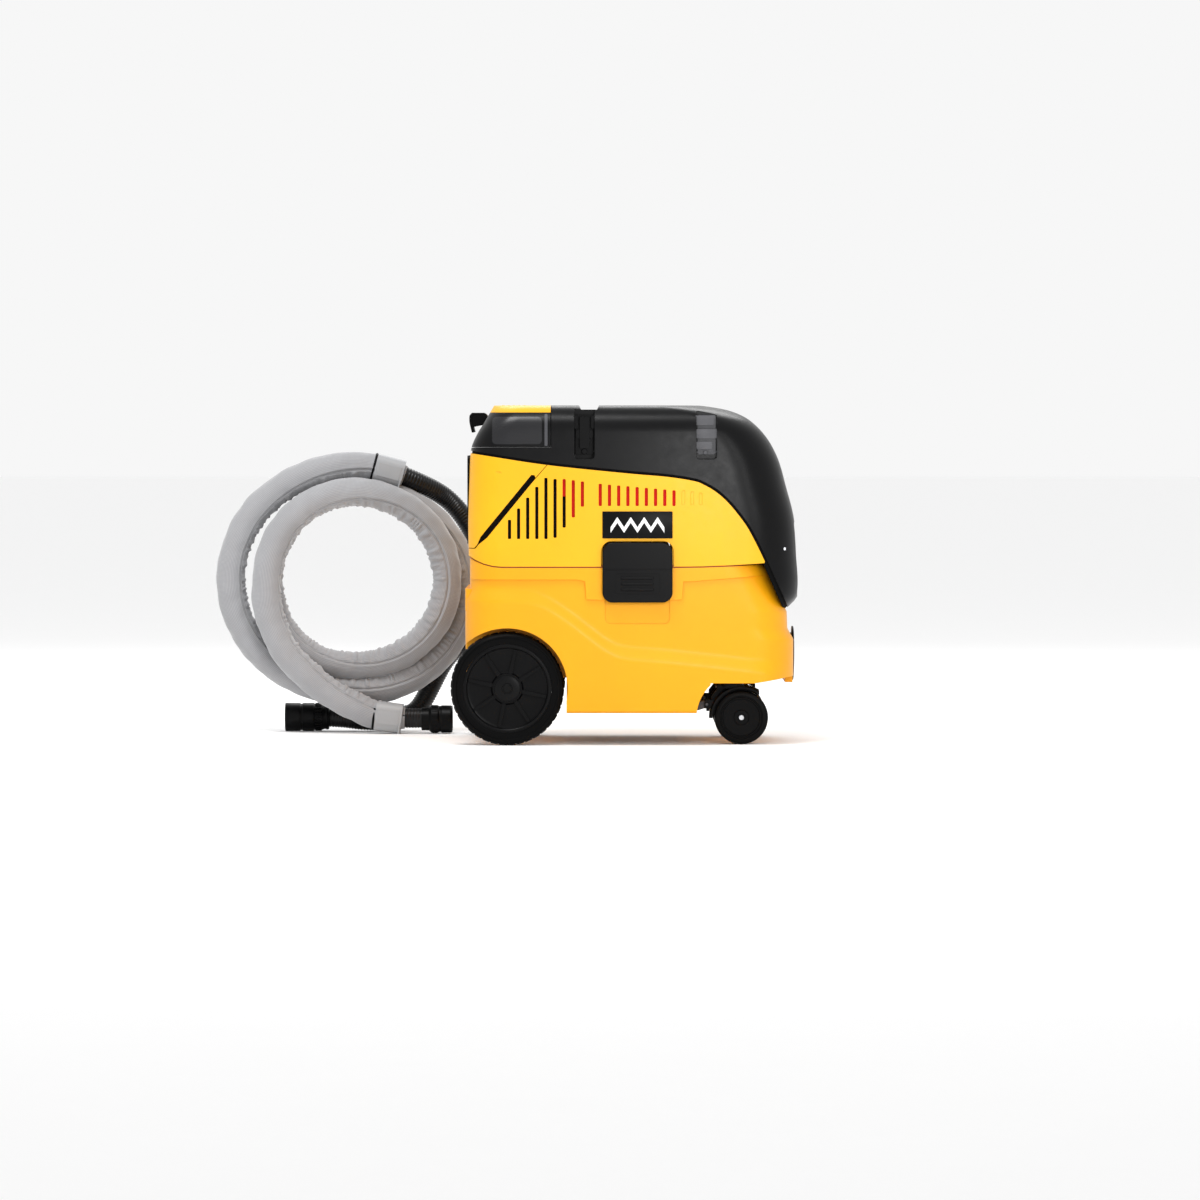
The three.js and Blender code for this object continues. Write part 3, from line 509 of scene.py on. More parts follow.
def textile(name, color, threads, depth):
    """Woven cloth: crossing threads laid out by the piece's own UVs, which are in millimetres."""
    material = bpy.data.materials.new(name)
    material.use_nodes = True
    tree = material.node_tree
    shader = tree.nodes["Principled BSDF"]
    shader.inputs["Sheen Weight"].default_value = 0.45
    shader.inputs["Sheen Roughness"].default_value = 0.45
    shader.inputs["Roughness"].default_value = 0.88
    uv = tree.nodes.new("ShaderNodeTexCoord").outputs["UV"]
    heights = []
    for turn in (0.0, math.pi / 2):
        mapping = node_of(tree, "ShaderNodeMapping", Rotation=(0, 0, turn))
        tree.links.new(uv, mapping.inputs["Vector"])
        wave = node_of(tree, "ShaderNodeTexWave", Scale=threads, Distortion=0.6, Detail=1.0)
        tree.links.new(mapping.outputs[0], wave.inputs["Vector"])
        heights.append(wave.outputs["Fac"])
    product = tree.nodes.new("ShaderNodeMath")
    product.operation = "MULTIPLY"
    for socket, height in zip(product.inputs, heights):
        tree.links.new(height, socket)
    coords = tree.nodes.new("ShaderNodeTexCoord").outputs["Object"]
    fluff = node_of(tree, "ShaderNodeTexNoise", Scale=900, Detail=4)
    dirt = node_of(tree, "ShaderNodeTexNoise", Scale=14, Detail=6, Roughness=0.65)
    for node in (fluff, dirt):
        tree.links.new(coords, node.inputs["Vector"])
    weave = ranged(tree, product.outputs[0], 0, 1, 0.0, 0.8)
    woven = mixed(tree, weave, tinted(color, 0.72), tinted(color, 1.12))
    stains = ranged(tree, dirt.outputs["Fac"], 0.0, 0.35, 0.4, 0.75)
    tree.links.new(mixed(tree, stains, woven, tinted(color, 0.62)), shader.inputs["Base Color"])
    total = tree.nodes.new("ShaderNodeMath")
    total.operation = "ADD"
    tree.links.new(product.outputs[0], total.inputs[0])
    tree.links.new(ranged(tree, fluff.outputs["Fac"], 0, 0.6), total.inputs[1])
    bump = node_of(tree, "ShaderNodeBump", Strength=0.6, Distance=depth * MM)
    tree.links.new(total.outputs[0], bump.inputs["Height"])
    tree.links.new(bump.outputs[0], shader.inputs["Normal"])
    return material


sleeve_cloth = textile("sleeve cloth", (0.375, 0.375, 0.388), 0.16, 0.2)

# ---------------------------------------------------------------- camera and light


def aim(thing, target):
    thing.rotation_euler = (Vector(target) - thing.location).to_track_quat("-Z", "Y").to_euler()


# The camera and the lamps are placed in metres.
VIEW_WIDTH = 2.04  # across the picture, at the machine
VIEW_CENTRE = Vector((-0.041, 0.0, 0.238))
LENS = 180.0
SENSOR = 36.0
ELEVATION = math.radians(1.6)

camera_data = bpy.data.cameras.new("camera")
camera_data.lens = LENS
camera_data.sensor_width = SENSOR
camera_data.clip_end = 100
camera = added("camera", camera_data)
camera_range = VIEW_WIDTH * LENS / SENSOR
camera.location = VIEW_CENTRE + Vector((0, -math.cos(ELEVATION), math.sin(ELEVATION))) * camera_range
aim(camera, VIEW_CENTRE)
bpy.context.scene.camera = camera

FLOOR = 60000  # half its width
floor_corners = [(-FLOOR, -FLOOR, 0), (FLOOR, -FLOOR, 0), (FLOOR, FLOOR, 0), (-FLOOR, FLOOR, 0)]
floor = new_piece("floor", floor_corners, [[0, 1, 2, 3]])
floor_paint = moulded("floor", (0.97, 0.97, 0.97), 0.8, grain=40, depth=0.0, mottle=0.003, specular=0.1)
floor.data.materials.append(floor_paint)

world = bpy.data.worlds.new("studio")
world.use_nodes = True
world.node_tree.nodes["Background"].inputs["Color"].default_value = (1, 1, 1, 1)
world.node_tree.nodes["Background"].inputs["Strength"].default_value = 0.93
bpy.context.scene.world = world
bpy.context.scene.view_settings.view_transform = "Standard"

LAMPS = (
    # name, place, target, width, height, watts
    ("key", (-0.7, -1.25, 3.4), (0.0, 0, 0.2), 1.5, 1.0, 66),
    ("fill", (1.5, -3.0, 0.95), (0.1, 0, 0.45), 0.8, 0.7, 12),
    ("sheen", (0.19, -1.0, 0.47), (0.13, 0, 0.43), 0.20, 0.20, 2.1),
    ("back", (0.2, 2.6, 2.6), (0, 0, 0.3), 2.2, 1.2, 36),
)
for name, location, target, width, height, watts in LAMPS:
    light = bpy.data.lights.new(name, "AREA")
    light.shape = "RECTANGLE"
    light.size, light.size_y = width, height
    light.energy = watts
    lamp_object = added(name, light)
    lamp_object.location = location
    lamp_object.visible_camera = False
    aim(lamp_object, target)

# ---------------------------------------------------------------- suction hose

HOSE_RADIUS = 17.5
SLEEVE_RADIUS = 26.0
COIL_X = (COIL_LOW.x + COIL_HIGH.x) / 2
COIL_Z = (COIL_LOW.z + COIL_HIGH.z) / 2
COIL_WIDE = (COIL_HIGH.x - COIL_LOW.x) / 2
COIL_TALL = (COIL_HIGH.z - COIL_LOW.z) / 2
COIL_FAR = COIL_HIGH.y
SLEEVE_START = 66.0  # degrees round the coil from its right-hand side, counter-clockwise from in front
SLEEVE_END = 930

# The stretches on the floor, from the machine's cuff and to the tool's connector.
MACHINE_TAIL = [
    (-517.2, 304, 24.6),
    (-488, 304, 22.5),
    (-456, 304, 19),
    (-424, 304, 19),
    (-392, 304, 26),
    (-358, 306, 42),
]
TOOL_DROP = [(-586, 222.5, 140), (-546, 222.5, 99), (-502, 222.5, 66), (-458, 222.5, 43), (-426, 222.2, 31.5)]
TOOL_TAIL = [(-396, 222, 27), (-373, 222, 26.4), (-350, 222, 26.4)]


LAYER_STEP = 51.0  # the second turn lies this far inside the first
FRONT_STEP = 47.0  # and the last one this far in front of them
LINE_INSET = 27.0  # the hose's middle line, from the outside of the coil
BARE_OUTWARD = 9.0  # the bare hose before the sleeve runs this far outside the first turn
BARE_BEHIND = 41.0  # and this far behind it
PARTING = 15.0  # the inner turns stand clear of the outer one at the left
FLATTENING = 0.86


def coil_point(angle):
    """A point on the hose's middle line in the coil: round its outside, then in, then in front."""
    bare = 1 - ease((angle - SLEEVE_START + 30) / 30)
    parting = PARTING * max(0.0, math.cos(math.radians(angle - 175))) ** 2 if angle > 400 else 0.0
    parting *= 1 - ease((angle - 900) / 40)
    inward = LAYER_STEP * ease((angle - 275) / 185) - BARE_OUTWARD * bare + parting
    across = COIL_FAR - 62 - FRONT_STEP * ease((angle - 628) / 84) + BARE_BEHIND * bare
    turn = math.radians(angle)
    wide = COIL_WIDE - LINE_INSET - inward
    tall = COIL_TALL - LINE_INSET - inward * FLATTENING
    return (COIL_X + wide * math.cos(turn), across, COIL_Z + tall * math.sin(turn))


COIL_START = -46
COIL_STEP = 15
coil_angles = range(COIL_START, SLEEVE_END + 1, COIL_STEP)
hose_points = MACHINE_TAIL + [coil_point(a) for a in coil_angles] + TOOL_DROP + TOOL_TAIL


def resampled(points, spacing):
    """Evenly spaced points along a smooth curve through the listed ones."""
    dense = smooth_path(points, 24)
    lengths = [0.0]
    for a, b in zip(dense, dense[1:]):
        lengths.append(lengths[-1] + (b - a).length)
    count = max(2, round(lengths[-1] / spacing))
    result, k = [], 0
    for i in range(count + 1):
        target = lengths[-1] * i / count
        while k < len(dense) - 2 and lengths[k + 1] < target:
            k += 1
        t = (target - lengths[k]) / max(1e-9, lengths[k + 1] - lengths[k])
        result.append(dense[k].lerp(dense[k + 1], min(1.0, max(0.0, t))))
    return result, lengths[-1]


def frames_along(path):
    """A direction and two cross directions at each point, turning as little as they can."""
    side = Vector((0, 1, 0))
    frames = []
    for i in range(len(path)):
        run = (path[min(len(path) - 1, i + 1)] - path[max(0, i - 1)]).normalized()
        side = (side - run * side.dot(run)).normalized()
        frames.append((run, side, run.cross(side)))
    return frames


def swept(name, path, sides, radius_at, capped=True):
    """A tube round a path, with radius_at(step, radians round it) and UVs, both in millimetres."""
    frames = frames_along(path)
    vertices, faces = [], []
    for i, (centre, (_, side, up)) in enumerate(zip(path, frames)):
        for k in range(sides):
            turn = 2 * math.pi * k / sides
            radius = radius_at(i, turn)
            vertices.append(centre + (side * math.cos(turn) + up * math.sin(turn)) * radius)
    for i in range(len(path) - 1):
        for k in range(sides):
            m = (k + 1) % sides
            faces.append([i * sides + k, i * sides + m, (i + 1) * sides + m, (i + 1) * sides + k])
    walls = len(faces)
    if capped:
        faces.append(list(reversed(range(sides))))
        faces.append([(len(path) - 1) * sides + k for k in range(sides)])
    piece = new_piece(name, vertices, faces)
    layer = piece.data.uv_layers.new(name="uv")
    step = (path[1] - path[0]).length
    girth = 2 * math.pi * radius_at(0, 0) / sides
    for polygon in piece.data.polygons[:walls]:
        row, column = divmod(polygon.index, sides)
        for loop, (u, v) in zip(polygon.loop_indices, ((0, 0), (0, 1), (1, 1), (1, 0))):
            layer.data[loop].uv = ((row + u) * step, (column + v) * girth)
    return smooth(piece, 60)


HOSE_STEP = 1.25
CORRUGATION = 5.0
hose_path, hose_length = resampled(hose_points, HOSE_STEP)


def nearest_step(path, point):
    return min(range(len(path)), key=lambda i: (path[i] - Vector(point)).length_squared)


sleeve_first = nearest_step(hose_path, coil_point(SLEEVE_START))
sleeve_last = nearest_step(hose_path, TOOL_TAIL[1])

# The corrugated hose is drawn finely where it is bare, and plainly inside its sleeve.
HIDDEN_SPACING = 10  # steps between the rings that the sleeve hides
SLEEVE_LAP = 12  # steps that stay fine inside each end of the sleeve
hidden_from, hidden_to = sleeve_first + SLEEVE_LAP, sleeve_last - SLEEVE_LAP
drawn_steps = [
    i
    for i in range(len(hose_path))
    if i <= hidden_from or i >= hidden_to or (i - sleeve_first) % HIDDEN_SPACING == 0
]
hose_line = [hose_path[i] for i in drawn_steps]


def hose_radius(i, _):
    if hidden_from < drawn_steps[i] < hidden_to:
        return HOSE_RADIUS - 1.2
    wave = math.cos(2 * math.pi * drawn_steps[i] * HOSE_STEP / CORRUGATION)
    return HOSE_RADIUS - 0.8 + 0.7 * wave


hose = swept("suction_hose", hose_line, 28, hose_radius)

# The sleeve: cloth with a sewn seam, gathered in close rucks on the seam's inner side.
SLEEVE_STEP = 2.0
SLEEVE_SPAN = round(18 / HOSE_STEP)
SLEEVE_SIDES = 96
sleeve_points = hose_path[sleeve_first : sleeve_last + 1 : SLEEVE_SPAN]
sleeve_line, sleeve_length = resampled(sleeve_points, SLEEVE_STEP)


def seam_turn(i):
    """Where the seam lies: it wanders between the inner and the outer edge of the turns."""
    centre = sleeve_line[i]
    return math.pi * (0.93 + 0.19 * math.cos(math.atan2(centre.z - COIL_Z, centre.x - COIL_X)))


def sleeve_radius(i, turn):
    place_along = i * SLEEVE_STEP
    ends = min(1.0, min(i, len(sleeve_line) - 1 - i) * SLEEVE_STEP / 30)
    radius = SLEEVE_RADIUS - 0.9 - 6.5 * (1 - ease(ends))
    away = turn - seam_turn(i)
    away = math.atan2(math.sin(away), math.cos(away))
    gathered = ease(-away / 0.3) * (1 - ease((-away - 1.9) / 0.8))
    across = Vector((math.cos(turn), math.sin(turn)))
    rucks = abs(noise.noise(Vector((place_along / 8.0, 0.6 * across.x, 0.6 * across.y + 3))))
    folds = noise.noise(Vector((place_along / 22 + 1.1 * across.x, 0.8 * across.x, 0.8 * across.y + 9)))
    slack = noise.noise(Vector((place_along / 80 + 7, 0.9 * across.x, 0.9 * across.y)))
    radius += ends * (gathered * (5.0 * rucks - 1.4) + (1.7 - 0.7 * gathered) * folds + 1.3 * slack)
    # The seam is a stitched valley with the cloth's turned edge beside it.
    beside = away * SLEEVE_RADIUS
    radius += 0.9 * math.exp(-(((beside - 4.0) / 2.0) ** 2)) - 2.6 * math.exp(-((beside / 1.7) ** 2))
    return min(radius, SLEEVE_RADIUS + 1.4)


sleeve = swept("hose_sleeve", sleeve_line, SLEEVE_SIDES, sleeve_radius, capped=False)
cloth = sleeve.modifiers.new("cloth", "SOLIDIFY")
cloth.thickness = 1.0 * MM
cloth.offset = -1.0


def label_block(name, index, length, toward_bare=1):
    """A squarish moulded collar on the sleeve with a raised plain field, and beside it a black ring, painted
    as the shade in the gap between collar and cloth.
    """
    run = frames_along(sleeve_line)[index][0] * toward_bare
    toward = Vector((0, -1, 0))
    toward = (toward - run * toward.dot(run)).normalized()
    across = toward.cross(run)
    basis = Matrix((run, across, toward)).transposed().to_4x4()
    basis.translation = sleeve_line[index] * MM
    half = length / 2
    collar = prism(name, rounded_outline(-25.4, 25.4, -26.4, 26.8, 15, 8), "x", -half, half)
    combine(collar, rod("bore", "x", (0, 0), 20, -length, length, 48, 0))
    field = rounded_block("field", (-half + 5, -12, 26.2), (half - 5, 12, 27.6), 0.6, 2)
    lip = rounded_block("lip", (half - 4, -25.8, 18), (half - 1, -8, 28.4), 0.8, 2)
    combine(collar, [field, lip], "UNION")
    soften(collar, 0.9, 3, 40)
    # The ring's black is painted shade, for the shaded gap between the collar and the cloth.
    ring = rod(name + "_ring", "x", (0, 0), 26.0, -half - 4.5, -half - 0.4, 96, 1.2)
    combine(ring, rod("bore", "x", (0, 0), 21, -length, length, 48, 0))
    smooth(ring, 40)
    for piece in (collar, ring):
        piece.data.transform(basis)
    return collar, ring


LABEL_IN = round(27 / SLEEVE_STEP)  # steps from the end of the sleeve to the middle of a label
label_top, shade_ring_top = label_block("sleeve_label_top", LABEL_IN, 50, -1)
label_end, shade_ring_end = label_block("sleeve_label_end", len(sleeve_line) - 1 - LABEL_IN, 46)

place(hose, "chassis", hose_plastic, ("hose_coil", "hose_tail_machine", "hose_tail_tool"), "hose_plastic")
place(sleeve, "chassis", sleeve_cloth, slot="sleeve_fabric")
for label, ring in ((label_top, shade_ring_top), (label_end, shade_ring_end)):
    place(label, "chassis", label_plastic, slot="grey_plastic")
    place(ring, "chassis", black, slot="rubber")

# The hose's two fittings, each turned from a closed profile of (radius, place along X).
HOSE_GRIP = 4.0  # the fittings' collars run this far onto the hose
RIB_REACH = 23.2


def fitting(name, profile, rounding, centre, node):
    body = lathe(f"{name}_body", rounded_profile(profile, rounding, 3), "x", centre)
    return place(smooth(body, 40), "chassis", black, node, "black_plastic")


def fitting_ribs(name, count, centre, radius, low, high, sides, edge):
    """Round ribs set about a fitting, where they clear the floor."""
    ribs = []
    for i in range(count):
        turn = 2 * math.pi * i / count
        y, z = centre[0] + RIB_REACH * math.cos(turn), centre[1] + RIB_REACH * math.sin(turn)
        if z - radius > 0.5:
            ribs.append(rod("rib", "x", (y, z), radius, low, high, sides, edge))
    return place(smooth(joined(name, ribs), 40), "chassis", black, slot="black_plastic")


cuff_low, cuff_high = node_box("machine_cuff")
cuff_centre = ((cuff_low.y + cuff_high.y) / 2, (cuff_low.z + cuff_high.z) / 2)
mouth, neck = cuff_low.x, cuff_high.x + HOSE_GRIP
CUFF_PROFILE = [
    (24.5, mouth), (24.5, mouth + 26), (23.1, mouth + 27), (23.1, mouth + 30), (24.5, mouth + 31),
    (24.5, mouth + 50), (22.6, mouth + 52), (22.6, neck - 12), (21.4, neck - 9), (21.4, neck - 6),
    (22.6, neck - 4), (21.0, neck), (16.0, neck), (16.0, mouth + 62), (21.8, mouth + 56), (21.8, mouth),
]
cuff = fitting("machine_cuff", CUFF_PROFILE, 1.0, cuff_centre, "machine_cuff")
cuff_grips = fitting_ribs("machine_cuff_grips", 24, cuff_centre, 1.5, mouth + 52.5, neck - 13, 10, 0.7)

tool_low, tool_high = node_box("tool_connector")
tool_centre = ((tool_low.y + tool_high.y) / 2, (tool_low.z + tool_high.z) / 2)
base, tip = tool_low.x - HOSE_GRIP, tool_high.x
CONNECTOR_PROFILE = [
    (14.0, base), (19.8, base), (19.8, base + 13), (23.8, base + 17), (23.8, base + 29),
    (22.6, base + 30.5), (22.6, base + 33.5), (23.8, base + 35), (23.8, tip - 3), (22.4, tip),
    (19.8, tip), (19.8, base + 24), (14.0, base + 20),
]
connector = fitting("tool_connector", CONNECTOR_PROFILE, 0.9, tool_centre, "tool_connector")
connector_ribs = fitting_ribs("tool_connector_ribs", 20, tool_centre, 1.1, base + 18, base + 28, 8, 0.5)

tuple(Vector(MACHINE_TAIL[0]) * MM)
[tuple(p * MM) for p in resampled(hose_points, 12.0)[0]]

# ---------------------------------------------------------------- the machine's outer form

HEAD_HALF = 186.0
HEAD_BOTTOM = 226.0
SHOULDER = 45.0  # the radius between the head's sides and its top
SHOULDER_Z = 523  # where that radius starts
REAR_CORNER = 52.0
NOSE_CORNER = 84.0
TUB_CORNER = 70.0
TUB_HALF = 182.0
TUB_BOTTOM = 54.0
WALL = 4.0
SEAM_Z = 297.0  # the joint between the container and the head
SEAM_GAP = 1.7
SKIN_GAP = 1.2  # the yellow housings stop this far short of the cover's edge
BULGE = 8.0  # how far the container's foot stands out

HEAD_FRONT = [
    (226, 272), (248, 291), (321, 290), (380, 285), (435, 271), (474, 260), (502, 247), (522, 233),
    (539, 216), (550, 200), (560, 175), (565, 150), (568, 128),
]
HEAD_REAR = [
    (226, -258), (360, -262), (440, -260), (495, -257), (518, -248), (538, -236), (557, -225), (568, -219),
]
TUB_FRONT = [(54, 284), (176, 284), (194, 274), (222, 273), (268, 251), (303, 235), (320, 228)]
TUB_REAR = [(54, -256), (180, -259), (320, -259)]
COVER_EDGE = [
    (-300, 493), (-257, 489), (-132, 470), (1, 456), (70, 450), (115, 443), (132, 437), (154, 424),
    (176, 404), (200, 374), (214, 351), (233, 313), (251, 273), (273, 225),
]
# Where the wide foot of the container begins: the line runs down from the rear and then level to the front.
FOOT_LINE = [
    (-300, 254), (-180, 250), (-140, 243), (-100, 220), (-60, 190), (-30, 168), (-5, 157), (75, 149),
    (160, 140), (240, 131), (300, 127),
]


def straight(stations, key):
    """The value between listed stations, joined by straight lines."""
    if key <= stations[0][0]:
        return stations[0][1]
    for (k0, v0), (k1, v1) in zip(stations, stations[1:]):
        if key <= k1:
            return v0 + (v1 - v0) * (key - k0) / (k1 - k0)
    return stations[-1][1]


def seam(x):
    rear = max(0.0, -205 - x) / 55
    front = max(0.0, x - 80) / 155
    return SEAM_Z + 17 * rear * rear + 6 * front * front


LONG_STEPS, CROSS_STEPS, CORNER_STEPS = 90, 44, 14


def plan_ring(rear, front, half, rear_corner, front_corner):
    """A level section, as (x, y, outward x, outward y), from its front left corner round by the left side."""
    ring = []

    def corner(x, y, radius, start):
        for step in range(CORNER_STEPS + 1):
            turn = math.radians(start + 90 * step / CORNER_STEPS)
            nx, ny = math.cos(turn), math.sin(turn)
            ring.append((x + radius * nx, y + radius * ny, nx, ny))

    def side(start, end, steps, nx, ny):
        for step in range(1, steps):
            t = step / steps
            ring.append((start[0] + (end[0] - start[0]) * t, start[1] + (end[1] - start[1]) * t, nx, ny))

    corner(front - front_corner, half - front_corner, front_corner, 0)
    side((front - front_corner, half), (rear + rear_corner, half), LONG_STEPS, 0, 1)
    corner(rear + rear_corner, half - rear_corner, rear_corner, 90)
    side((rear, half - rear_corner), (rear, -half + rear_corner), CROSS_STEPS, -1, 0)
    corner(rear + rear_corner, -half + rear_corner, rear_corner, 180)
    side((rear + rear_corner, -half), (front - front_corner, -half), LONG_STEPS, 0, -1)
    corner(front - front_corner, -half + front_corner, front_corner, 270)
    side((front, -half + front_corner), (front, half - front_corner), CROSS_STEPS, 1, 0)
    return ring


def loft(name, levels, push=None):
    """A closed form through level sections; push(x, y, z) moves its skin outwards."""
    vertices, faces = [], []
    count = 0
    for z, *plan in levels:
        ring = plan_ring(*plan)
        count = len(ring)
        for x, y, nx, ny in ring:
            out = push(x, y, z) if push else 0.0
            vertices.append((x + nx * out, y + ny * out, z))
    for level in range(len(levels) - 1):
        for i in range(count):
            j = (i + 1) % count
            a, b = level * count, (level + 1) * count
            faces.append([a + i, a + j, b + j, b + i])
    top = (len(levels) - 1) * count
    faces.append(list(reversed(range(count))))
    faces.append([top + i for i in range(count)])
    return new_piece(name, vertices, faces)


def head_form(inset=0.0):
    """The head's outer form, or its form that far inside the skin, which then runs out below."""
    low = HEAD_BOTTOM - (20 if inset else 0)
    levels = [(low + (SHOULDER_Z - low) * i / 44, HEAD_HALF - inset) for i in range(44)]
    radius = SHOULDER - inset
    for i in range(17):
        turn = math.pi / 2 * i / 16
        levels.append((SHOULDER_Z + radius * math.sin(turn), HEAD_HALF - SHOULDER + radius * math.cos(turn)))
    stations = []
    for z, half in levels:
        key = z if z < SHOULDER_Z else SHOULDER_Z + (z - SHOULDER_Z) * SHOULDER / radius
        rear, front = along(HEAD_REAR, key) + inset, along(HEAD_FRONT, key) - inset
        stations.append((z, rear, front, half, REAR_CORNER - inset, NOSE_CORNER - inset))
    return loft("head_form", stations)


FOOT_BAND = 24  # the height over which the foot stands out
FOOT_FRONT = 232  # where it starts to sink back into the flat front


def foot(x, _, z):
    """How far the container's foot stands out at a place on its skin."""
    ramp = (along(FOOT_LINE, x) + FOOT_BAND / 2 - z) / FOOT_BAND
    ramp = min(1.0, max(0.0, ramp))
    return BULGE * (0.65 * ramp + 0.35 * ease(ramp)) * (1 - ease((x - FOOT_FRONT) / 46))


def tub_form(inset=0.0, half=TUB_HALF, push=None, low=TUB_BOTTOM, high=320.0, rounding=0.0):
    """The container's outer form between two heights, or its form that far inside the skin."""
    levels = []
    count = 90 if push else 24
    for i in range(count + 1):
        z = low + (high - low) * i / count
        tuck = 0.0
        if rounding and z < low + rounding:
            tuck = rounding - math.sqrt(max(0.0, rounding**2 - (low + rounding - z) ** 2))
        rear = straight(TUB_REAR, z) + inset + tuck
        front = straight(TUB_FRONT, z) - inset - tuck
        levels.append((z, rear, front, half - inset - tuck, REAR_CORNER - inset, TUB_CORNER - inset))
    return loft("tub_form", levels, push)


OUTSIDE = 230  # past the machine's skin, from its middle


def side_prism(outline):
    return prism("side_tool", outline, "y", -240, 240)


def side_cut(outline, depth):
    """A tool that cuts into the right side, in to a place on Y."""
    return prism("side_cut", outline, "y", -OUTSIDE, depth)


def circle(centre, radius, count, start=0.0):
    turns = [start + 2 * math.pi * i / count for i in range(count)]
    return [(centre[0] + radius * math.cos(t), centre[1] + radius * math.sin(t)) for t in turns]


def both_sides(tools):
    return [*tools, *(mirrored(tool, tool.name + "_left") for tool in tools)]


# ---------------------------------------------------------------- container

SEAM_XS = (-290, -262, -250, -236, -220, -205, -100, 80, 130, 180, 220, 235)
seam_path = [Vector((x, seam(x))) for x in SEAM_XS]
ARCH_RADIUS = 101.0
CASTER_TRAIL = 20.0
CASTER_PIVOT_X = CASTER_X - CASTER_TRAIL

tub = tub_form(push=foot, rounding=5.0)
# A raised rim under the seam, which drops beside the latch.
RIM_EDGE = [
    (-300, 277), (-78, 277), (-66, 274), (-64, 244), (-40, 243), (84, 243), (96, 244), (98, 274),
    (110, 274), (250, 285), (300, 287), (300, 330), (-300, 330),
]
rim = combine(tub_form(half=HEAD_HALF, low=230.0), side_prism(RIM_EDGE), "INTERSECT")
rear_lip = prism("rear_lip", rounded_outline(-267, -230, -150, 150, 10), "z", 224, 261)
combine(tub, [rim, rear_lip], "UNION")
below_seam = [(p.x, p.y - 0.4) for p in reversed(seam_path)]
combine(tub, side_prism([(-320, 20), (320, 20), (320, 303), *below_seam, (-320, 314)]), "INTERSECT")

# The spaces under the floor, and the same ones grown by the wall's thickness, which the hollow
# keeps clear of.
ARCH_EDGE = WHEEL_X + ARCH_RADIUS
hollow = tub_form(inset=WALL)
front_arch = prism("front_arch", circle((CASTER_X, 46), 76, 72), "y", -220, 220)
combine(front_arch, block("cap", (60, -230, -60), (300, 230, 104)), "INTERSECT")
spaces = [
    block("rear_space", (-300, -220, -10), (ARCH_EDGE - 2, 220, 112)),
    side_prism([(CASTER_X - 34, -10), (300, -10), (300, 117), (262, 111), (218, 104), (CASTER_X - 34, 104)]),
    front_arch,
]
grown_spaces = [
    block("rear_space", (-300, -220, -10), (ARCH_EDGE + 2, 220, 116)),
    side_prism([(CASTER_X - 80, -10), (300, -10), (300, 121), (262, 115), (218, 108), (CASTER_X - 80, 108)]),
]
for _, side in SIDES:
    for grow, group in ((0, spaces), (WALL, grown_spaces)):
        depth = 146 - grow
        low, high = (-230, -depth) if side < 0 else (depth, 230)
        group.append(prism("arch", circle((WHEEL_X, WHEEL_Z), ARCH_RADIUS + grow, 96), "y", low, high))
        pivot = (CASTER_PIVOT_X, side * CASTER_Y)
        group.append(rod("swivel_room", "z", pivot, 70 + grow, -10, 104 + grow, 64, 0))
combine(hollow, grown_spaces)

latch_middle = (LATCH_LOW.x + LATCH_HIGH.x) / 2
PIN_Y, PIN_Z = -187.0, 326.0  # the right latch's pin
recess_outline = rounded_outline(latch_middle - 54, latch_middle + 54, 203, 345, 9)
recesses = both_sides([side_cut(recess_outline, -180.5)])
inlet_z = centre_of("inlet_port").z
inlet_hole = rod("inlet_hole", "x", (0, inlet_z), 35.4, 240, 300, 64, 0)
combine(tub, [*spaces, hollow, *recesses, inlet_hole])
skirt = rounded_block("front_skirt", (270, -92, 102), (283.6, 92, 130), 1.5)
combine(tub, skirt, "UNION")
bosses, bores = [], []
for _, side in SIDES:
    low, high = (WHEEL_X - 18, side * 126 - 10, 76), (WHEEL_X + 18, side * 126 + 10, 114)
    pivot = (CASTER_PIVOT_X, side * CASTER_Y)
    bosses += [block("axle_carrier", low, high), rod("boss", "z", pivot, 17, 103.5, 144, 40, 0.5)]
    bores.append(rod("stem_bore", "z", pivot, 8.5, 100, 138, 32, 0))
combine(tub, bosses, "UNION")
combine(tub, [rod("axle_bore", "y", (WHEEL_X, WHEEL_Z), 6.4, -146, 146, 32, 0), *bores])
place_shell(tub, "container_shell", "chassis", yellow, "container", "yellow_plastic")

# ---------------------------------------------------------------- head housings

cover_edge = smooth_path(COVER_EDGE, 8)


def above(distance):
    """The side of the cover's edge that the cover fills, from that far past the edge."""
    edge = shifted(cover_edge, distance)
    return [*edge, (340, 200), (340, 640), (-320, 640)]


def below(distance):
    """The side of it that the yellow housings fill, down to the seam."""
    edge = [p for p in shifted(cover_edge, distance) if p.y > seam(p.x) + SEAM_GAP + 0.5]
    seam_line = [(p.x, p.y + SEAM_GAP) for p in seam_path if p.x < edge[-1].x - 2]
    return [*seam_line, (edge[-1].x - 0.5, seam(edge[-1].x) + SEAM_GAP), *reversed(edge)]


SLIT_FOOT, SLIT_HEAD, SLIT_TIP = Vector((-247, 333)), Vector((-128, 470)), Vector((-152, 449))
slit_run = (SLIT_TIP - SLIT_FOOT).normalized()
slit_side = Vector((-slit_run.y, slit_run.x))
slit_outline = [
    SLIT_FOOT, SLIT_FOOT + slit_run * 22 - slit_side * 4.6, SLIT_TIP - slit_side * 4.6,
    SLIT_TIP + slit_run * 3, SLIT_TIP + slit_side * 4.6, SLIT_FOOT + slit_run * 16 + slit_side * 4.6,
]


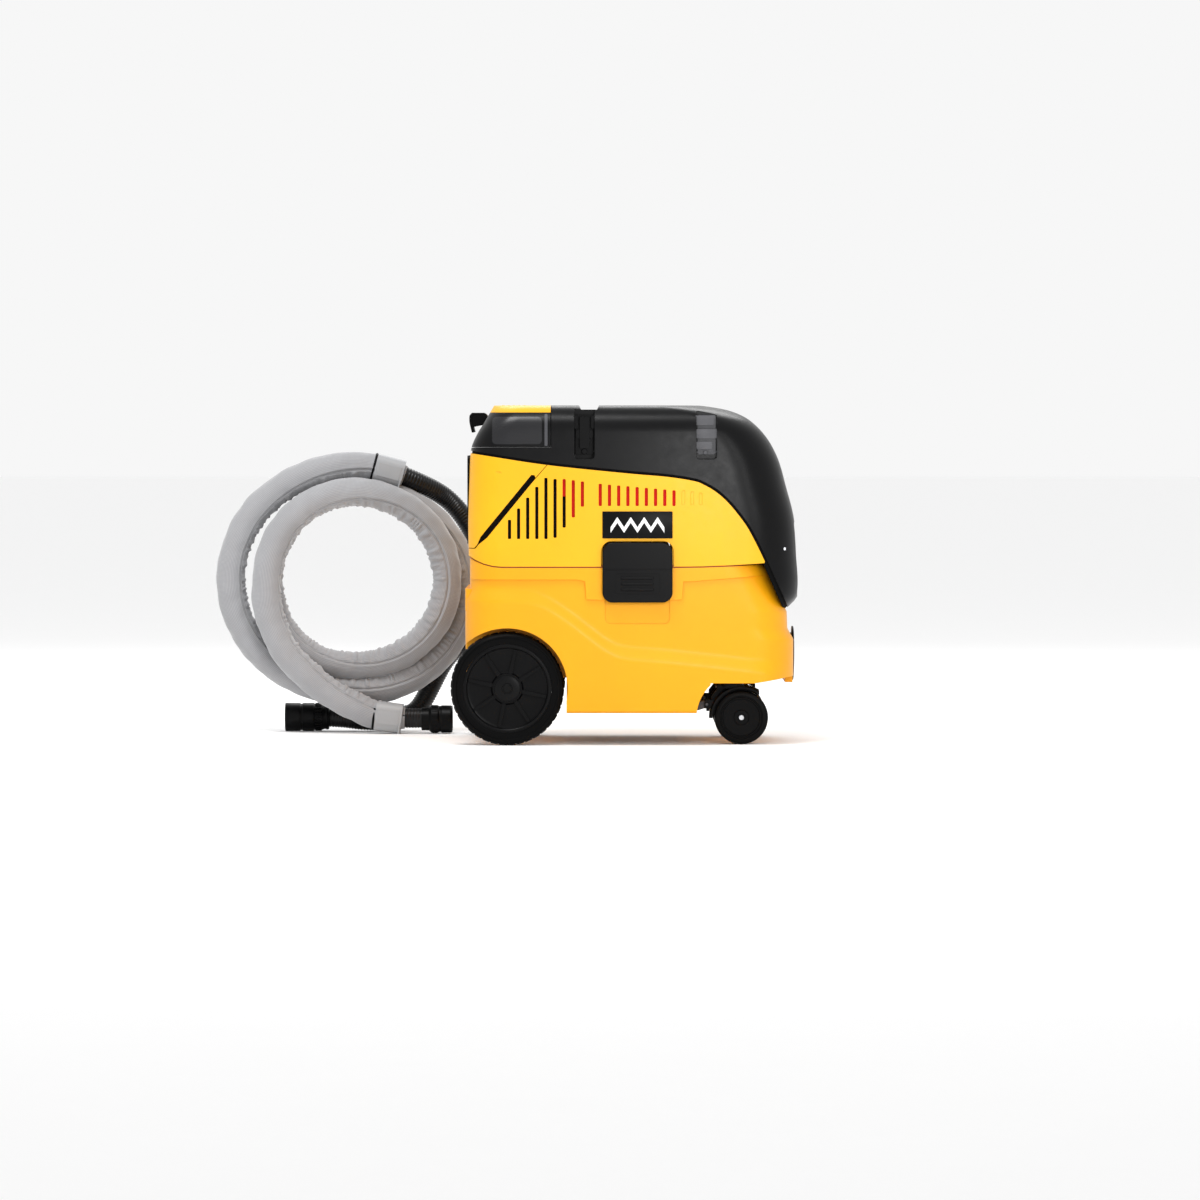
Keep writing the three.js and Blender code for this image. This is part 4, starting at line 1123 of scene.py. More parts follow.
def rear_region(shrink):
    """What lies behind the slanted slit and its line, up to the top."""
    slope = (SLIT_HEAD.x - SLIT_FOOT.x) / (SLIT_HEAD.y - SLIT_FOOT.y)
    return [
        (-320, 329 + shrink),
        (SLIT_FOOT.x - (SLIT_FOOT.y - 329) * slope - shrink, 329 + shrink),
        (SLIT_HEAD.x - shrink, SLIT_HEAD.y),
        (SLIT_HEAD.x + 60 - shrink, SLIT_HEAD.y + 60 / slope),
        (-320, 560),
    ]


SLOT_PITCH, SLOT_WIDTH = 15.2, 5.3
# Each slot's foot and head, in the sloping group behind the latch.
REAR_SLOTS = (
    (345, 377), (345, 396), (345, 414), (345, 432), (345, 447), (347, 445), (364, 445), (381, 443),
    (399, 441),
)
slots = [(-192 + i * SLOT_PITCH, low, high) for i, (low, high) in enumerate(REAR_SLOTS)]
slots += [(-40.6 + i * SLOT_PITCH * 1.012, 400, 437 - i * 1.35) for i in range(9)]
BLIND_SLOT_X = (98, 113, 127)


def slot_tool(x, low, high, depth):
    return side_cut(rounded_outline(x - SLOT_WIDTH / 2, x + SLOT_WIDTH / 2, low, high, 1.6, 3), depth)


shell = combine(head_form(), head_form(WALL))
rear_shell = copied(shell, "rear_shell")

yellow_side = combine(shell, side_prism(below(-SKIN_GAP)), "INTERSECT")
open_slots = [slot_tool(x, low, high, -150) for x, low, high in slots]
blind_slots = [slot_tool(x, 402, 426 - i * 2, -HEAD_HALF + 0.7) for i, x in enumerate(BLIND_SLOT_X)]
# The latch's shallow seat, and the deeper pocket round its hinge.
seat = side_cut(rounded_outline(latch_middle - 60.5, latch_middle + 60.5, 270, 341.5, 18, 8), -183.5)
hinge_pocket = side_cut(rounded_outline(latch_middle - 58.5, latch_middle + 58.5, 312, 340.5, 13), -174)
side_tools = [side_prism(slit_outline), side_prism(rear_region(-0.6))]
for group in (open_slots, blind_slots, [seat], [hinge_pocket]):
    side_tools += both_sides(group)
combine(yellow_side, side_tools)
lugs = []
for _, side in SIDES:
    for start in (-47, 41):
        x = latch_middle + start
        low, high = sorted((side * 182, side * 191.4))
        stalk = block("stalk", (x, low, 309), (x + 6, high, PIN_Z))
        eye = rod("eye", "x", (side * -PIN_Y, PIN_Z), 4.6, x, x + 6, 24, 0.3)
        lugs.append(combine(stalk, eye, "UNION"))
combine(yellow_side, lugs, "UNION")
place_shell(yellow_side, "head_housing_shell", "head", yellow_head_lit, "head_housing", "yellow_plastic")

combine(rear_shell, side_prism(below(-SKIN_GAP)), "INTERSECT")
combine(rear_shell, side_prism(rear_region(0.6)), "INTERSECT")
window = prism("window", rounded_outline(-132, 132, 335, 485, 8), "x", -300, -240)
groove = side_cut([(-250, 464), (-206, 457), (-206, 454.5), (-250, 461.5)], -HEAD_HALF + 0.8)
combine(rear_shell, [side_prism(slit_outline), window, *both_sides([groove])])
place_shell(rear_shell, "rear_housing_shell", "head", yellow_head_lit, "rear_housing", "yellow_plastic")

# Linings behind the openings: a black sheet painted as the shade inside the head, and red where the warm air
# leaves.
RED_AREA = [(-108, 416), (-93, 416), (-93, 374), (106, 374), (106, 449), (-108, 463)]
BLACK_AREA = [
    (-262, 318), (-50, 318), (-50, 373.6), (-93.4, 373.6), (-93.4, 415.6), (-108.4, 415.6), (-108.4, 463),
    (-132, 466), (-262, 482),
]
for name, area, material in (("vent_lining_red", RED_AREA, red), ("vent_shade_lining_black", BLACK_AREA, shadow)):
    lining = combine(head_form(4.6), head_form(7.2))
    combine(lining, [side_prism(area), block("cap", (-244, -240, 300), (300, 240, 500))], "INTERSECT")
    place_lining(lining, name, "head", material)

# ---------------------------------------------------------------- top cover

TRAY_X = (4, 136)
TRAY_HALF = 78
CLIP_X = {"rear": centre_of("case_clip_rear_right").x, "front": centre_of("case_clip_front_right").x}
HANDLE_X, HANDLE_Z = 122, 558

cover = combine(head_form(), head_form(WALL))
combine(cover, side_prism(above(3.2)), "INTERSECT")
# Blocks are cut to the head's form and join the cover; then the pockets cut it.
additions = [
    block("tray_walls", (TRAY_X[0] - 4, -TRAY_HALF - 8, 541), (TRAY_X[1] + 4, TRAY_HALF + 8, 566)),
    block("groove_floor", (-79, -154, 556), (-40, 154, 567)),
    block("bay_wall", (BOX_HIGH.x + 1.4, -154, 498), (BOX_HIGH.x + 6.4, 154, 566)),
    block("panel_surround", (PANEL_LOW.x - 4, -124, 244.5), (300, 124, 377.5)),
]
pockets = [
    prism("tray", rounded_outline(TRAY_X[0], TRAY_X[1], -TRAY_HALF, TRAY_HALF, 9), "z", 545, 620),
    rod("handle_bore", "y", (HANDLE_X, HANDLE_Z), 3.9, -TRAY_HALF - 6, TRAY_HALF + 6, 24, 0),
    prism("groove", [(-77, 569), (-73, 561), (-46, 561), (-42, 569), (-42, 600), (-77, 600)], "y", -220, 220),
    block("bay", (-320, -230, 497), (BOX_HIGH.x + 0.8, 230, 620)),
    prism("panel_window", rounded_outline(-119, 119, 249, 373, 11), "x", PANEL_LOW.x - 0.5, 320),
    prism("panel_back", rounded_outline(-112, 112, 256, 366, 6), "x", 250, PANEL_LOW.x + 4),
    combine(
        tub_form(-1.6, low=180.0, high=334.0), block("cap", (150, -230, 190), (320, 230, 330)), "INTERSECT"
    ),
]
for _, side in SIDES:
    for x in CLIP_X.values():
        low, high = sorted((side * 158, side * 182))
        additions.append(block("clip_seat", (x - 22, low, 474), (x + 22, high, HEAD_TOP)))
        low, high = sorted((side * 163.5, side * 230))
        recess = rounded_outline(x - 17, x + 17, 478, 640, 6)
        pockets.append(prism("clip_recess", recess, "y", low, high))
form = head_form()
filled = [combine(addition, form, "INTERSECT", keep=True) for addition in additions]
discard([form])
combine(cover, filled, "UNION")
combine(cover, pockets)
place_shell(cover, "top_cover_shell", "head", charcoal, "top_cover", "charcoal_plastic")

# The gap between the cover and the yellow housings, lined with a black sheet as painted shade, and the gap at
# the seam, lined with dark orange as painted shade.
joint = combine(head_form(2.4), head_form(6.0))
combine(joint, side_prism([*shifted(cover_edge, -5), *reversed(shifted(cover_edge, 8))]), "INTERSECT")
place_lining(joint, "cover_gap_shade_lining", "head", shadow)
seam_shade_lining = combine(tub_form(2.2, half=HEAD_HALF, low=240), tub_form(5.0, half=HEAD_HALF, low=230, high=330))
seam_band = [(p.x, p.y - 2.5) for p in seam_path] + [(p.x, p.y + 5) for p in reversed(seam_path)]
combine(seam_shade_lining, side_prism(seam_band), "INTERSECT")
place_lining(seam_shade_lining, "seam_shade_lining", "chassis", painted_seam_colour)

# ---------------------------------------------------------------- accessory compartment, hook and handle



def head_slice(inset, low, high, x_high):
    """What the head's form holds between two heights, behind a place."""
    cap = block("cap", (-300, -230, low), (x_high, 230, high))
    return combine(head_form(inset), cap, "INTERSECT")


box_form = head_slice(0.0, BOX_LOW.z, BOX_HIGH.z, BOX_HIGH.x)
box_hollow = head_slice(6.0, BOX_LOW.z + 4, BOX_HIGH.z - 6, BOX_HIGH.x - 4)
mouth_outline = rounded_outline(-208, BOX_HIGH.x - 4, -144, 144, 6)
combine(box_form, [box_hollow, prism("mouth", mouth_outline, "z", BOX_HIGH.z - 12, 620)])
place_shell(box_form, "compartment_box_shell", "head", charcoal, "compartment_box", "gloss_black_plastic")

lid_form = head_slice(0.0, LID_LOW.z, 600, LID_HIGH.x)
underside = rounded_outline(-214, LID_HIGH.x - 10, -136, 136, 5)
finger_dip = rounded_outline(-150, LID_HIGH.x + 20, -36, 36, 12)
lid_tools = [
    prism("underside", underside, "z", 540, LID_LOW.z + 7),
    prism("finger_dip", finger_dip, "z", HEAD_TOP - 2.2, HEAD_TOP + 10),
]
combine(lid_form, lid_tools)
lid_ribs = []
for i in range(5):
    low, high = (-206 + i * 9, -118, HEAD_TOP - 1.2), (-202 + i * 9, 118, HEAD_TOP + 0.5)
    lid_ribs.append(rounded_block("lid_rib", low, high, 0.45))
combine(lid_form, lid_ribs, "UNION")
place_shell(lid_form, "compartment_lid_shell", "lid", yellow_head_lit, "compartment_lid", "yellow_plastic")


def skin_plate(name, outline, raised):
    """A plate that follows the head's skin on both sides, within an outline in x and z."""
    plate = combine(head_form(-raised), head_form(1.0))
    combine(plate, side_prism(outline), "INTERSECT")
    return smooth(named(plate, name), SHELL_ANGLE)


inset_plate = skin_plate("side_inset", rounded_outline(-221, -138, 503, 549, 7), 0.7)
# A thin raised bead at the compartment's front edge, coloured lighter grey as a painted highlight along that
# edge.
highlight_bead = skin_plate("side_highlight_bead", rounded_outline(-133.5, -128.5, 500, 554, 2.2, 4), 1.0)
place(inset_plate, "head", brushed, slot="gloss_black_plastic")
place(highlight_bead, "head", grey, slot="charcoal_plastic")

HOOK_LINE = [(-231, 546), (-238, 554), (-252, 555.4), (-259.5, 550), (-259.4, 540), (-255.4, 523)]
hook_arm = smooth_path(HOOK_LINE, 5)
hook_outline = [*shifted(hook_arm, 2.4), *reversed(shifted(hook_arm, -2.4))]
hook_outline = [(min(-231.5, max(-262, p.x)), min(556, p.y)) for p in hook_outline]
hook = prism("cable_hook_body", hook_outline, "y", -46, 46)
CHEEK_OUTLINE = [(-232, 537), (-232, 551), (-250, 555.4), (-258, 549.5), (-256.4, 532)]
hook_cheeks = [prism("cheek", CHEEK_OUTLINE, "y", y - 1.8, y + 1.8) for y in (-43.6, 0, 43.6)]
combine(hook, hook_cheeks, "UNION")
soften(hook, 0.6, 2)
place(hook, "head", black, "cable_hook", "black_plastic")

handle_low, handle_high = node_box("carry_handle")
grip_outline = rounded_outline(handle_low.x, handle_high.x, -75, 75, 14, 8)
handle = prism("carry_handle_body", grip_outline, "z", handle_low.z, handle_high.z)
combine(handle, prism("hole", rounded_outline(36, 160, -57, 57, 10, 6), "z", 500, 600))
trunnions = []
for _, side in SIDES:
    low, high = sorted((side * 66, side * 82.5))
    trunnions.append(rod("trunnion", "y", (HANDLE_X, HANDLE_Z), 3.5, low, high, 24, 0.5))
combine(handle, trunnions, "UNION")
soften(handle, 2.6, 4, 50)
place(handle, "handle", black, "carry_handle", "black_plastic")
grip_ribs = []
for i in range(10):
    low, high = (14.5, -45 + i * 10, handle_high.z - 0.6), (31, -40 + i * 10, handle_high.z + 0.8)
    grip_ribs.append(rounded_block("grip_rib", low, high, 0.6, 2))
grip = smooth(joined("carry_handle_grip", grip_ribs), 50)
place(grip, "handle", seal_rubber, slot="rubber")

# ---------------------------------------------------------------- latches, badge and case clips

plate_outline = rounded_outline(LATCH_LOW.x, LATCH_HIGH.x, LATCH_LOW.z, LATCH_HIGH.z, 17, 10)
latch_right = prism("latch", plate_outline, "y", -196.0, -187.6)
soften(latch_right, 2.4, 4, 50)
latch_right.modifiers.clear()
hollow_outline = rounded_outline(LATCH_LOW.x + 5, LATCH_HIGH.x - 5, LATCH_LOW.z + 5, LATCH_HIGH.z - 5, 12)
latch_tools = [
    side_cut([(-60, 292.6), (100, 292.6), (100, 295.6), (-60, 295.6)], -194.2),
    side_cut(rounded_outline(latch_middle - 38, latch_middle + 38, 252, 288, 5), -194.2),
]
latch_tools.append(prism("latch_hollow", hollow_outline, "y", -192, -170))
combine(latch_right, latch_tools)
latch_solids = []
for i in range(3):
    low = (latch_middle - 27, -197.4, 258.5 + i * 9.5)
    high = (latch_middle + 27, -193.6, 263.0 + i * 9.5)
    latch_solids.append(rounded_block("grip", low, high, 1.3))
latch_solids += [
    rod("knuckle", "x", (PIN_Y, PIN_Z), 4.6, latch_middle - 40, latch_middle + 40, 32, 0.4),
    block("root", (latch_middle - 40, -193, PIN_Z - 4), (latch_middle + 40, -187, PIN_Z + 4)),
    rounded_block("toe", (latch_middle - 30, -192.5, 243), (latch_middle + 30, -184, 249), 0.8),
]
combine(latch_right, latch_solids, "UNION")
combine(latch_right, rod("bore", "x", (PIN_Y, PIN_Z), 2.6, latch_middle - 60, latch_middle + 60, 24, 0))
smooth(named(latch_right, "latch_plate_right"), SHELL_ANGLE)
latch_left = mirrored(latch_right, "latch_plate_left")
for piece, side_name in ((latch_right, "right"), (latch_left, "left")):
    name = f"latch_plate_{side_name}"
    place_shell(piece, name, f"latch_{side_name}_body", gloss, f"latch_{side_name}", "black_plastic")

badge_plate = rounded_block("badge_plate", tuple(BADGE_LOW), tuple(BADGE_HIGH), 0.5, 2)
place(badge_plate, "head", black, "badge", "black_plastic")
# A row of filter pleats, in white.
PLEATS, PLEAT_PITCH, PLEAT_RISE, PLEAT_STROKE = 9, 11.2, 8.5, 4.6
badge_mid = (BADGE_LOW.z + BADGE_HIGH.z) / 2
pleat_start = (BADGE_LOW.x + BADGE_HIGH.x - (PLEATS - 1) * PLEAT_PITCH) / 2
pleat_line = [
    (pleat_start + i * PLEAT_PITCH, badge_mid + (PLEAT_RISE if i % 2 else -PLEAT_RISE)) for i in range(PLEATS)
]
pleat_outline = [(x, z - PLEAT_STROKE) for x, z in pleat_line]
pleat_outline += [(x, z + PLEAT_STROKE) for x, z in reversed(pleat_line)]
emblem = prism("badge_emblem", pleat_outline, "y", BADGE_LOW.y - 0.35, BADGE_LOW.y + 0.3)
place(emblem, "head", white, slot="grey_plastic")


def case_clip(name, x, rear):
    """A clip for a tool case: a plate with stepped teeth, or with two ears beside a tongue."""

    def tooth(x_low, x_high, z_low, z_high, y_low, y_high, radius=3.0, steps=4):
        outline = rounded_outline(x + x_low, x + x_high, z_low, z_high, radius, steps)
        return prism("tooth", outline, "y", y_low, y_high)

    plate = tooth(-15, 15, 486, 552, -171.5, -166.5)
    if rear:
        solids = [
            tooth(-8, 8, 496, 549, -178.5, -170),
            tooth(-14.5, 14.5, 513, 527, -176.5, -170),
            tooth(-19, -11, 529, 551, -177.5, -168),
            tooth(11, 19, 529, 551, -177.5, -168),
            rod("pivot", "y", (x, 491), 4.6, -177.0, -170, 32, 0.5),
        ]
    else:
        solids = [
            tooth(-19, 12, 535, 551, -177.0, -168, 1.6, 3),
            tooth(-17, 19, 513, 528.5, -179.5, -168, 1.6, 3),
            tooth(-17, 9, 495, 507.5, -178.0, -170, 1.6, 3),
            rod("pivot", "y", (x - 2, 489), 3.4, -176.5, -170, 32, 0.5),
        ]
    trunnion = rod("trunnion", "x", (-169, 490), 2.4, x - 19, x + 19, 24, 0.3)
    combine(plate, [*solids, trunnion], "UNION")
    return soften(named(plate, name), 0.7, 2, 40)


for kind, x in CLIP_X.items():
    clip_right = case_clip(f"case_{kind}_clip_right", x, kind == "rear")
    clip_left = mirrored(clip_right, f"case_{kind}_clip_left")
    for piece, side_name in ((clip_right, "right"), (clip_left, "left")):
        material = black if kind == "rear" else grey
        place(piece, f"clip_{kind}_{side_name}", material, f"case_clip_{kind}_{side_name}", "grey_plastic")

# ---------------------------------------------------------------- wheels


def notch_tread(piece, centre, radius, step, depth):
    """Pulls every few rows of the tread's vertices in, to leave cross grooves."""
    for vertex in piece.data.vertices:
        x, z = vertex.co.x / MM - centre[0], vertex.co.z / MM - centre[1]
        distance = math.hypot(x, z)
        turn = round(math.degrees(math.atan2(z, x)) * 100) % 36000 / 100
        if distance > radius - 0.8 and (turn + 0.1) % step < 1.0:
            pull = (distance - depth) / distance
            vertex.co.x, vertex.co.z = (centre[0] + x * pull) * MM, (centre[1] + z * pull) * MM


# Turned profiles of the right wheel, as (radius, place along Y).
TYRE_PROFILE = [
    (74, -153.0), (74, -152.4), (83, -152.0), (91.5, -154.5), (94.6, -158.5), (95, -162), (95, -164.4),
    (93.0, -164.8), (93.0, -166.6), (95, -167.0), (95, -169.4), (93.0, -169.8), (93.0, -171.6), (95, -172),
    (95, -176.6), (94.4, -181.5), (91.8, -185.4), (88.4, -187.0), (87.6, -188.0), (85.2, -188.0),
    (84.4, -187.0), (78, -186.8), (74, -186.0),
]
RIM_PROFILE = [
    (6.3, -153), (17, -153), (18, -162), (62, -166), (66, -154), (73.7, -153), (73.7, -186.4), (72.4, -187.2),
    (69.4, -187.2), (68.0, -186.0), (66.8, -180.4), (62, -178.6), (40, -178.0), (27.5, -178.6), (25.4, -181),
    (24.6, -185.0), (6.3, -185.2),
]
CAP_PROFILE = [
    (0.0, -185.5), (0.0, -188.6), (6.4, -188.7), (7.2, -187.9), (8.6, -187.9), (9.4, -188.8), (18.5, -188.5),
    (21.4, -187.2), (22, -185.5),
]
RIM_RIBS = 8
wheel_centre = (WHEEL_X, WHEEL_Z)


def wheel_lathe(name, profile, side_name, sides, closed=True):
    """A turned piece of one rear wheel, from the right wheel's profile."""
    flip = 1 if side_name == "right" else -1
    turned = [(radius, flip * y) for radius, y in profile]
    return lathe(f"{name}_{side_name}", turned, "y", wheel_centre, sides, closed)


for side_name, side in SIDES:
    body = f"rear_wheel_{side_name}"
    tyre = wheel_lathe("rear_tyre", TYRE_PROFILE, side_name, 240)
    notch_tread(tyre, wheel_centre, 95, 9.0, 1.5)
    smooth(tyre, 28)
    place(tyre, body, tyre_rubber, f"wheel_tyre_{side_name}", "tyre")
    rim = wheel_lathe("rear_rim", RIM_PROFILE, side_name, 144)
    near, far = sorted((side * 177.0, side * 184.4))
    ribs = []
    for i in range(RIM_RIBS):
        rib = prism("rib", [(25, -3.2), (66.5, -2.2), (66.5, 2.2), (25, 3.2)], "y", near, far)
        rib.data.transform(Matrix.Rotation(math.radians(360 / RIM_RIBS * i + 12), 4, "Y"))
        rib.data.transform(Matrix.Translation(Vector((WHEEL_X, 0, WHEEL_Z)) * MM))
        ribs.append(rib)
    combine(rim, ribs, "UNION")
    soften(rim, 0.6, 2, 34)
    place(rim, body, black, f"wheel_rim_{side_name}", "black_plastic")
    hub_cap = wheel_lathe("rear_hub_cap", CAP_PROFILE, side_name, 96, closed=False)
    smooth(hub_cap, SHELL_ANGLE)
    place(hub_cap, body, gloss, f"hub_cap_{side_name}", "black_plastic")

# Casters: a hood over two discs, on a swivelling plate.
CASTER_PROFILE = [
    (4.4, 5.5), (31, 5.8), (33, 7.0), (42.6, 5.6), (44.6, 7.4), (45, 10), (45, 15.2), (44.2, 18.0),
    (41.6, 19.6), (36.4, 20.0), (35.4, 19.0), (34.2, 19.0), (33.2, 20.0), (31.6, 20.0), (30.6, 18.0),
    (13.0, 17.4), (12, 19.0), (4.4, 19.4),
]
HOOD_SIDE = [(118, 44), (150, 44), (CASTER_X, 45), (226, 84), (226, 120), (118, 120)]
WEB_OUTLINE = [(146, 50), (186, 36), (206, 36), (212, 60), (214, 96), (160, 98), (146, 80)]
PEDAL_OUTLINE = [(115, 62), (119, 56), (136, 61), (141.5, 66), (138, 71.5), (132, 72), (117, 67)]
BRAKE_PIN = (138, 67)
caster_axle = (CASTER_X, CASTER_Z)


def axle_point(radius, turn):
    return (CASTER_X + radius * math.cos(turn), CASTER_Z + radius * math.sin(turn))


SPINE_TURNS = (1.0, 1.3, 1.6, 1.9)  # radians round the axle
spine_outline = [axle_point(50, t) for t in SPINE_TURNS]
spine_outline += [axle_point(55.2, t) for t in reversed(SPINE_TURNS)]


def caster_hood(y):
    hood = rod("hood", "y", caster_axle, 54, y - 21, y + 21, 120, 2.5)
    combine(hood, prism("hood_side", HOOD_SIDE, "y", y - 30, y + 30), "INTERSECT")
    combine(hood, rod("inner", "y", caster_axle, 48.5, y - 30, y + 30, 120, 0))
    pivot = (CASTER_PIVOT_X, y)
    solids = [
        prism("web", WEB_OUTLINE, "y", y - 4.5, y + 4.5),
        rod("plate", "z", pivot, 24, 96, 102.5, 64, 1.0),
        block("shoulder", (CASTER_PIVOT_X - 22, y - 20, 94), (CASTER_PIVOT_X + 26, y + 20, 99)),
        rod("stem", "z", pivot, 8, 98, 134, 40, 1.2),
    ]
    solids += [block("lug", (134, y + near, 60), (150, y + near + 3.5, 74)) for near in (-16.5, 13)]
    solids += [prism("spine", spine_outline, "y", y + at - 1.2, y + at + 1.2) for at in (-9, 0, 9)]
    combine(hood, solids, "UNION")
    axle_bore = rod("bore", "y", caster_axle, 4.4, y - 12, y + 12, 32, 0)
    combine(hood, [axle_bore, rod("bore", "y", BRAKE_PIN, 2.8, y - 20, y + 20, 24, 0)])
    return hood


def brake_pedal(y):
    pedal = prism("pedal", smooth_path(PEDAL_OUTLINE, 3, closed=True), "y", y - 12.4, y + 12.4)
    solids = []
    for i in range(3):
        x, z = 4.5 * i, 1.6 * i
        tread = [(117.5 + x, 66.2 + z), (120 + x, 67.0 + z), (119.4 + x, 69.4 + z), (117.0 + x, 68.4 + z)]
        solids.append(prism("tread", tread, "y", y - 10.5, y + 10.5))
    solids.append(rod("pivot", "y", BRAKE_PIN, 2.4, y - 16.4, y + 16.4, 24, 0.3))
    return combine(pedal, solids, "UNION")


for side_name, side in SIDES:
    y = side * CASTER_Y
    hood = named(caster_hood(y), f"caster_hood_{side_name}")
    soften(hood, 0.7, 2, 36)
    place(hood, f"caster_{side_name}", black, f"caster_fork_{side_name}", "black_plastic")
    for disc, direction in (("outer", side), ("inner", -side)):
        profile = [(radius, y + direction * w) for radius, w in CASTER_PROFILE]
        wheel = lathe(f"caster_{disc}_disc_{side_name}", profile, "y", caster_axle, 144)
        smooth(wheel, 28)
        node = f"caster_wheel_{disc}_{side_name}"
        place(wheel, f"caster_wheels_{side_name}", caster_rubber, node, "rubber")
    pedal = named(brake_pedal(y), f"caster_pedal_{side_name}")
    soften(pedal, 0.5, 2, 36)
    place(pedal, f"brake_{side_name}", grey, f"caster_brake_{side_name}", "grey_plastic")

# ---------------------------------------------------------------- control panel and rear panel

face = PANEL_HIGH.x
BUTTON_PLACE = (0, 346)
SOCKET_PLACE = (0, 284)
panel = prism("control_panel_plate", rounded_outline(-118, 118, 250, 372, 10, 8), "x", PANEL_LOW.x, face)
raised_frame = prism("frame", rounded_outline(-114, 114, 254, 368, 8, 8), "x", face - 1, face + 1.0)
frame_inside = rounded_outline(-111.5, 111.5, 256.5, 365.5, 6.5, 8)
combine(raised_frame, prism("frame_inside", frame_inside, "x", face - 3, face + 4))
combine(panel, raised_frame, "UNION")
panel_tools = [
    rod("button_hole", "x", BUTTON_PLACE, 9.5, 250, 300, 48, 0),
    rod("socket", "x", SOCKET_PLACE, 20, face - 5, 300, 64, 0),
    block("hinge_relief", (face - 2, -31, 305.5), (face + 3, 31, 316)),
]
combine(panel, panel_tools)
soften(panel, 0.5, 2, 36)
place(panel, "head", charcoal, "control_panel", "charcoal_plastic")

DIAL_Y, DIAL_Z = 56.0, 326.0
TICKS = 11
FINS = 18


def dial_tick(dial_y, i):
    """One mark of a dial's scale, longer at its ends and its middle."""
    reach = 27.5 + (1.5 if i % 5 == 0 else 0)
    tick = block("tick", (face - 0.1, -0.7, 24.5), (face + 0.35, 0.7, reach))
    turn = math.radians(-225 + 27 * i)
    tick.data.transform(Matrix.Rotation(turn + math.pi / 2, 4, "X"))
    tick.data.transform(Matrix.Translation(Vector((0, dial_y, DIAL_Z)) * MM))
    return tick


ticks = []
for dial, dial_y in (("power", -DIAL_Y), ("hose", DIAL_Y)):
    ticks += [dial_tick(dial_y, i) for i in range(TICKS)]
    fins = []
    for i in range(FINS):
        turn = math.radians(360 / FINS * i)
        fin_place = (dial_y + 16.6 * math.cos(turn), DIAL_Z + 16.6 * math.sin(turn))
        fins.append(rod("fin", "x", fin_place, 1.5, face + 2.5, face + 11.2, 12, 0.5))
    dial_place = (dial_y, DIAL_Z)
    dial_skirt = rod("skirt", "x", dial_place, 21, face + 0.4, face + 4, 96, 0.9)
    knob = rod("knob", "x", dial_place, 17, face + 2, face + 12, 96, 1.6)
    combine(dial_skirt, [knob, *fins], "UNION")
    smooth(named(dial_skirt, f"{dial}_dial_knob"), 32)
    place(dial_skirt, f"dial_{dial}", grey, f"{dial}_dial", "grey_plastic")
    low, high = (face + 4, dial_y - 1.6, DIAL_Z + 3), (face + 12.8, dial_y + 1.6, DIAL_Z + 16)
    pointer = rounded_block(f"{dial}_dial_pointer", low, high, 0.6, 2)
    place(pointer, f"dial_{dial}", white, slot="grey_plastic")
place(joined("dial_scales", ticks), "head", white, slot="grey_plastic")

button = rod("clean_button_cap", "x", BUTTON_PLACE, 9, PANEL_LOW.x + 1, face + 6, 72, 1.6)
place(button, "button", yellow, "clean_button", "red_plastic")

flap = prism("flap", rounded_outline(-28, 28, 256, 312, 6, 8), "x", face + 0.4, face + 6)
flap_grip = rounded_block("flap_grip", (face + 5, -12, 258.5), (face + 7.6, 12, 261.5), 0.9)
flap_ring = rod("flap_ring", "x", SOCKET_PLACE, 19, face + 5, face + 6.8, 72, 0.6)
combine(flap_ring, rod("flap_ring_inside", "x", SOCKET_PLACE, 16.5, face, face + 12, 72, 0))
combine(flap, [flap_grip, flap_ring], "UNION")
soften(named(flap, "socket_flap_body"), 0.8, 2, 40)
place(flap, "flap", charcoal, "socket_flap", "grey_plastic")

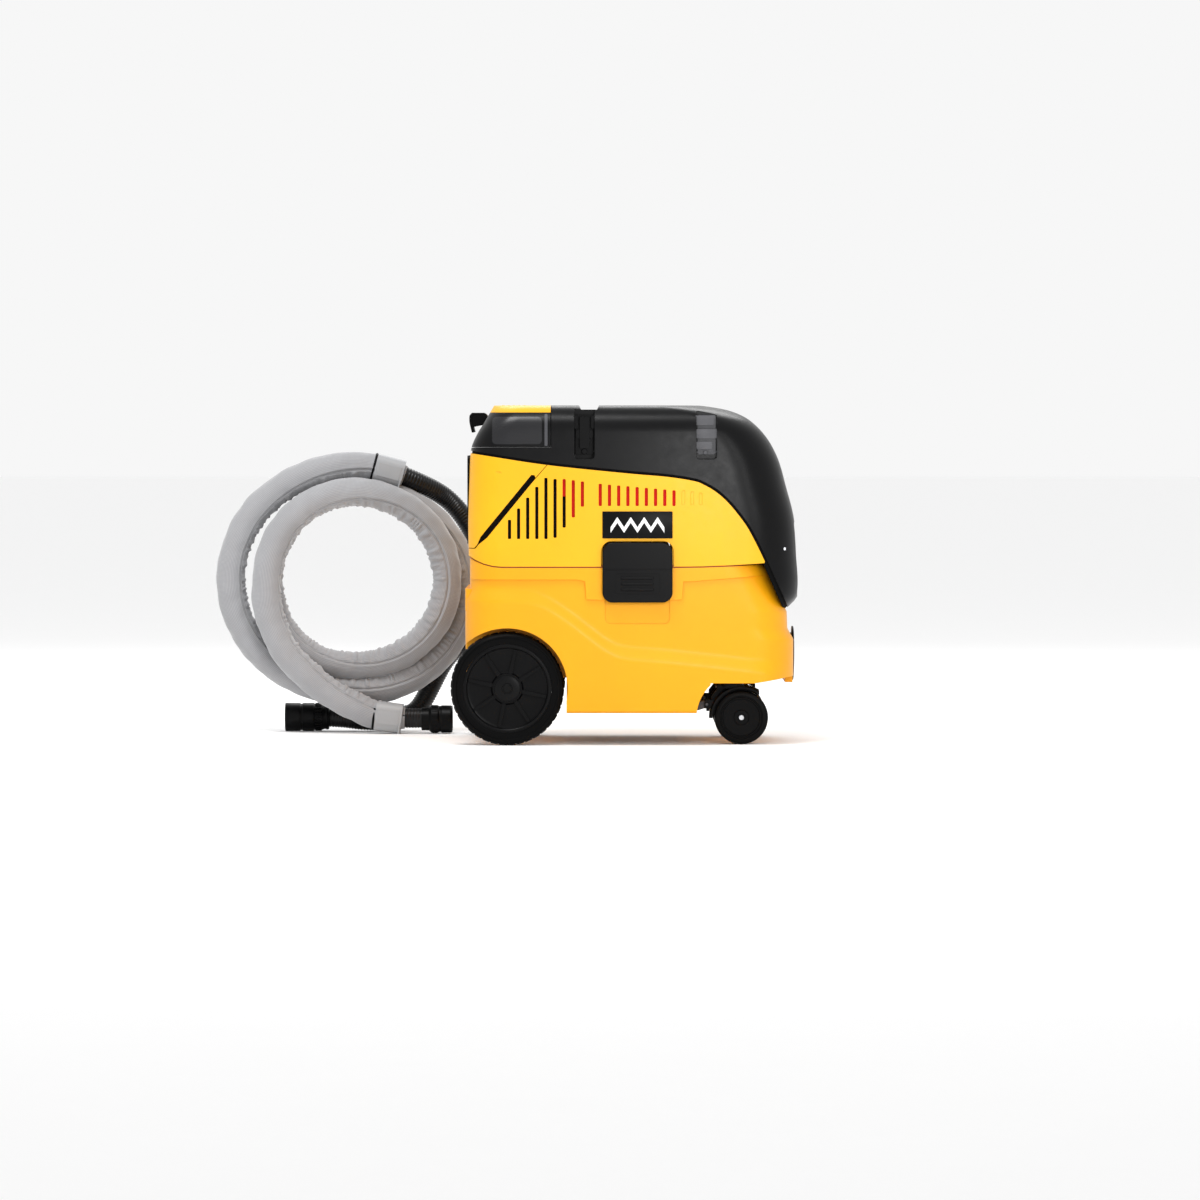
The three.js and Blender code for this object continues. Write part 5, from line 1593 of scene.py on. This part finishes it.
rear_plate = prism("rear_grille", rounded_outline(-131, 131, 336, 484, 8, 8), "x", -263.5, -257.5)
louvres = []
for z in range(400, 470, 10):
    louvres.append(prism("louvre", rounded_outline(-112, 112, z, z + 5, 2.4, 4), "x", -280, -259.6))
combine(rear_plate, [*louvres, rod("gland_hole", "x", (60, 360), 9, -280, -250, 48, 0)])
soften(named(rear_plate, "rear_panel_plate"), 0.8, 2, 36)
place(rear_plate, "head", black, "rear_panel", "black_plastic")

PORT_PROFILE = [
    (29, 262), (35, 262), (35, 284.4), (46, 284.4), (46, 287.2), (43, 288), (36, 288), (35, 286.6),
    (31, 286.6), (29, 284),
]
port = lathe("inlet_port_ring", rounded_profile(PORT_PROFILE, 0.6, 2), "x", (0, inlet_z), 120)
smooth(port, 32)
place(port, "chassis", black, "inlet_port", "black_plastic")

# A small white dot on each side of the nose, a painted highlight where a screw head catches the light, square
# to the rounded corner that it sits in.
GLINT_X, GLINT_Z = 268.0, 328.0
corner_x, corner_y = along(HEAD_FRONT, GLINT_Z) - NOSE_CORNER, HEAD_HALF - NOSE_CORNER
glint_turn = math.asin((GLINT_X - corner_x) / NOSE_CORNER)
glint_y = corner_y + NOSE_CORNER * math.cos(glint_turn)
for side_name, side in SIDES:
    low, high = sorted((-side * 4.0, side * 0.9))
    glint_piece = rod(f"nose_lamp_{side_name}", "y", (0, 0), 2.6, low, high, 32, 0.5)
    glint_piece.data.transform(Matrix.Rotation(-side * glint_turn, 4, "Z"))
    glint_piece.data.transform(Matrix.Translation(Vector((GLINT_X, side * glint_y, GLINT_Z)) * MM))
    place(glint_piece, "head", glint_white, slot="steel")

# ---------------------------------------------------------------- CAD nodes that keep their shape

KEPT = {
    "rear_axle": steel, "head_base": black, "cable_gland": seal_rubber, "container_gasket": seal_rubber,
    "circuit_board": board, "motor_scroll": black, "motor_can": cast, "motor_mount": seal_rubber,
    "rotor_shaft": steel, "impeller": cast, "exhaust_duct": red,
}
for side_name, _ in SIDES:
    KEPT.update(
        {
            f"caster_axle_{side_name}": steel, f"filter_frame_{side_name}": black,
            f"filter_pleats_{side_name}": paper, f"latch_pin_{side_name}": steel,
        }
    )
for name, material in KEPT.items():
    node = bpy.data.objects[name]
    node.data.materials.clear()
    node.data.materials.append(material)
    smooth(node, 32)
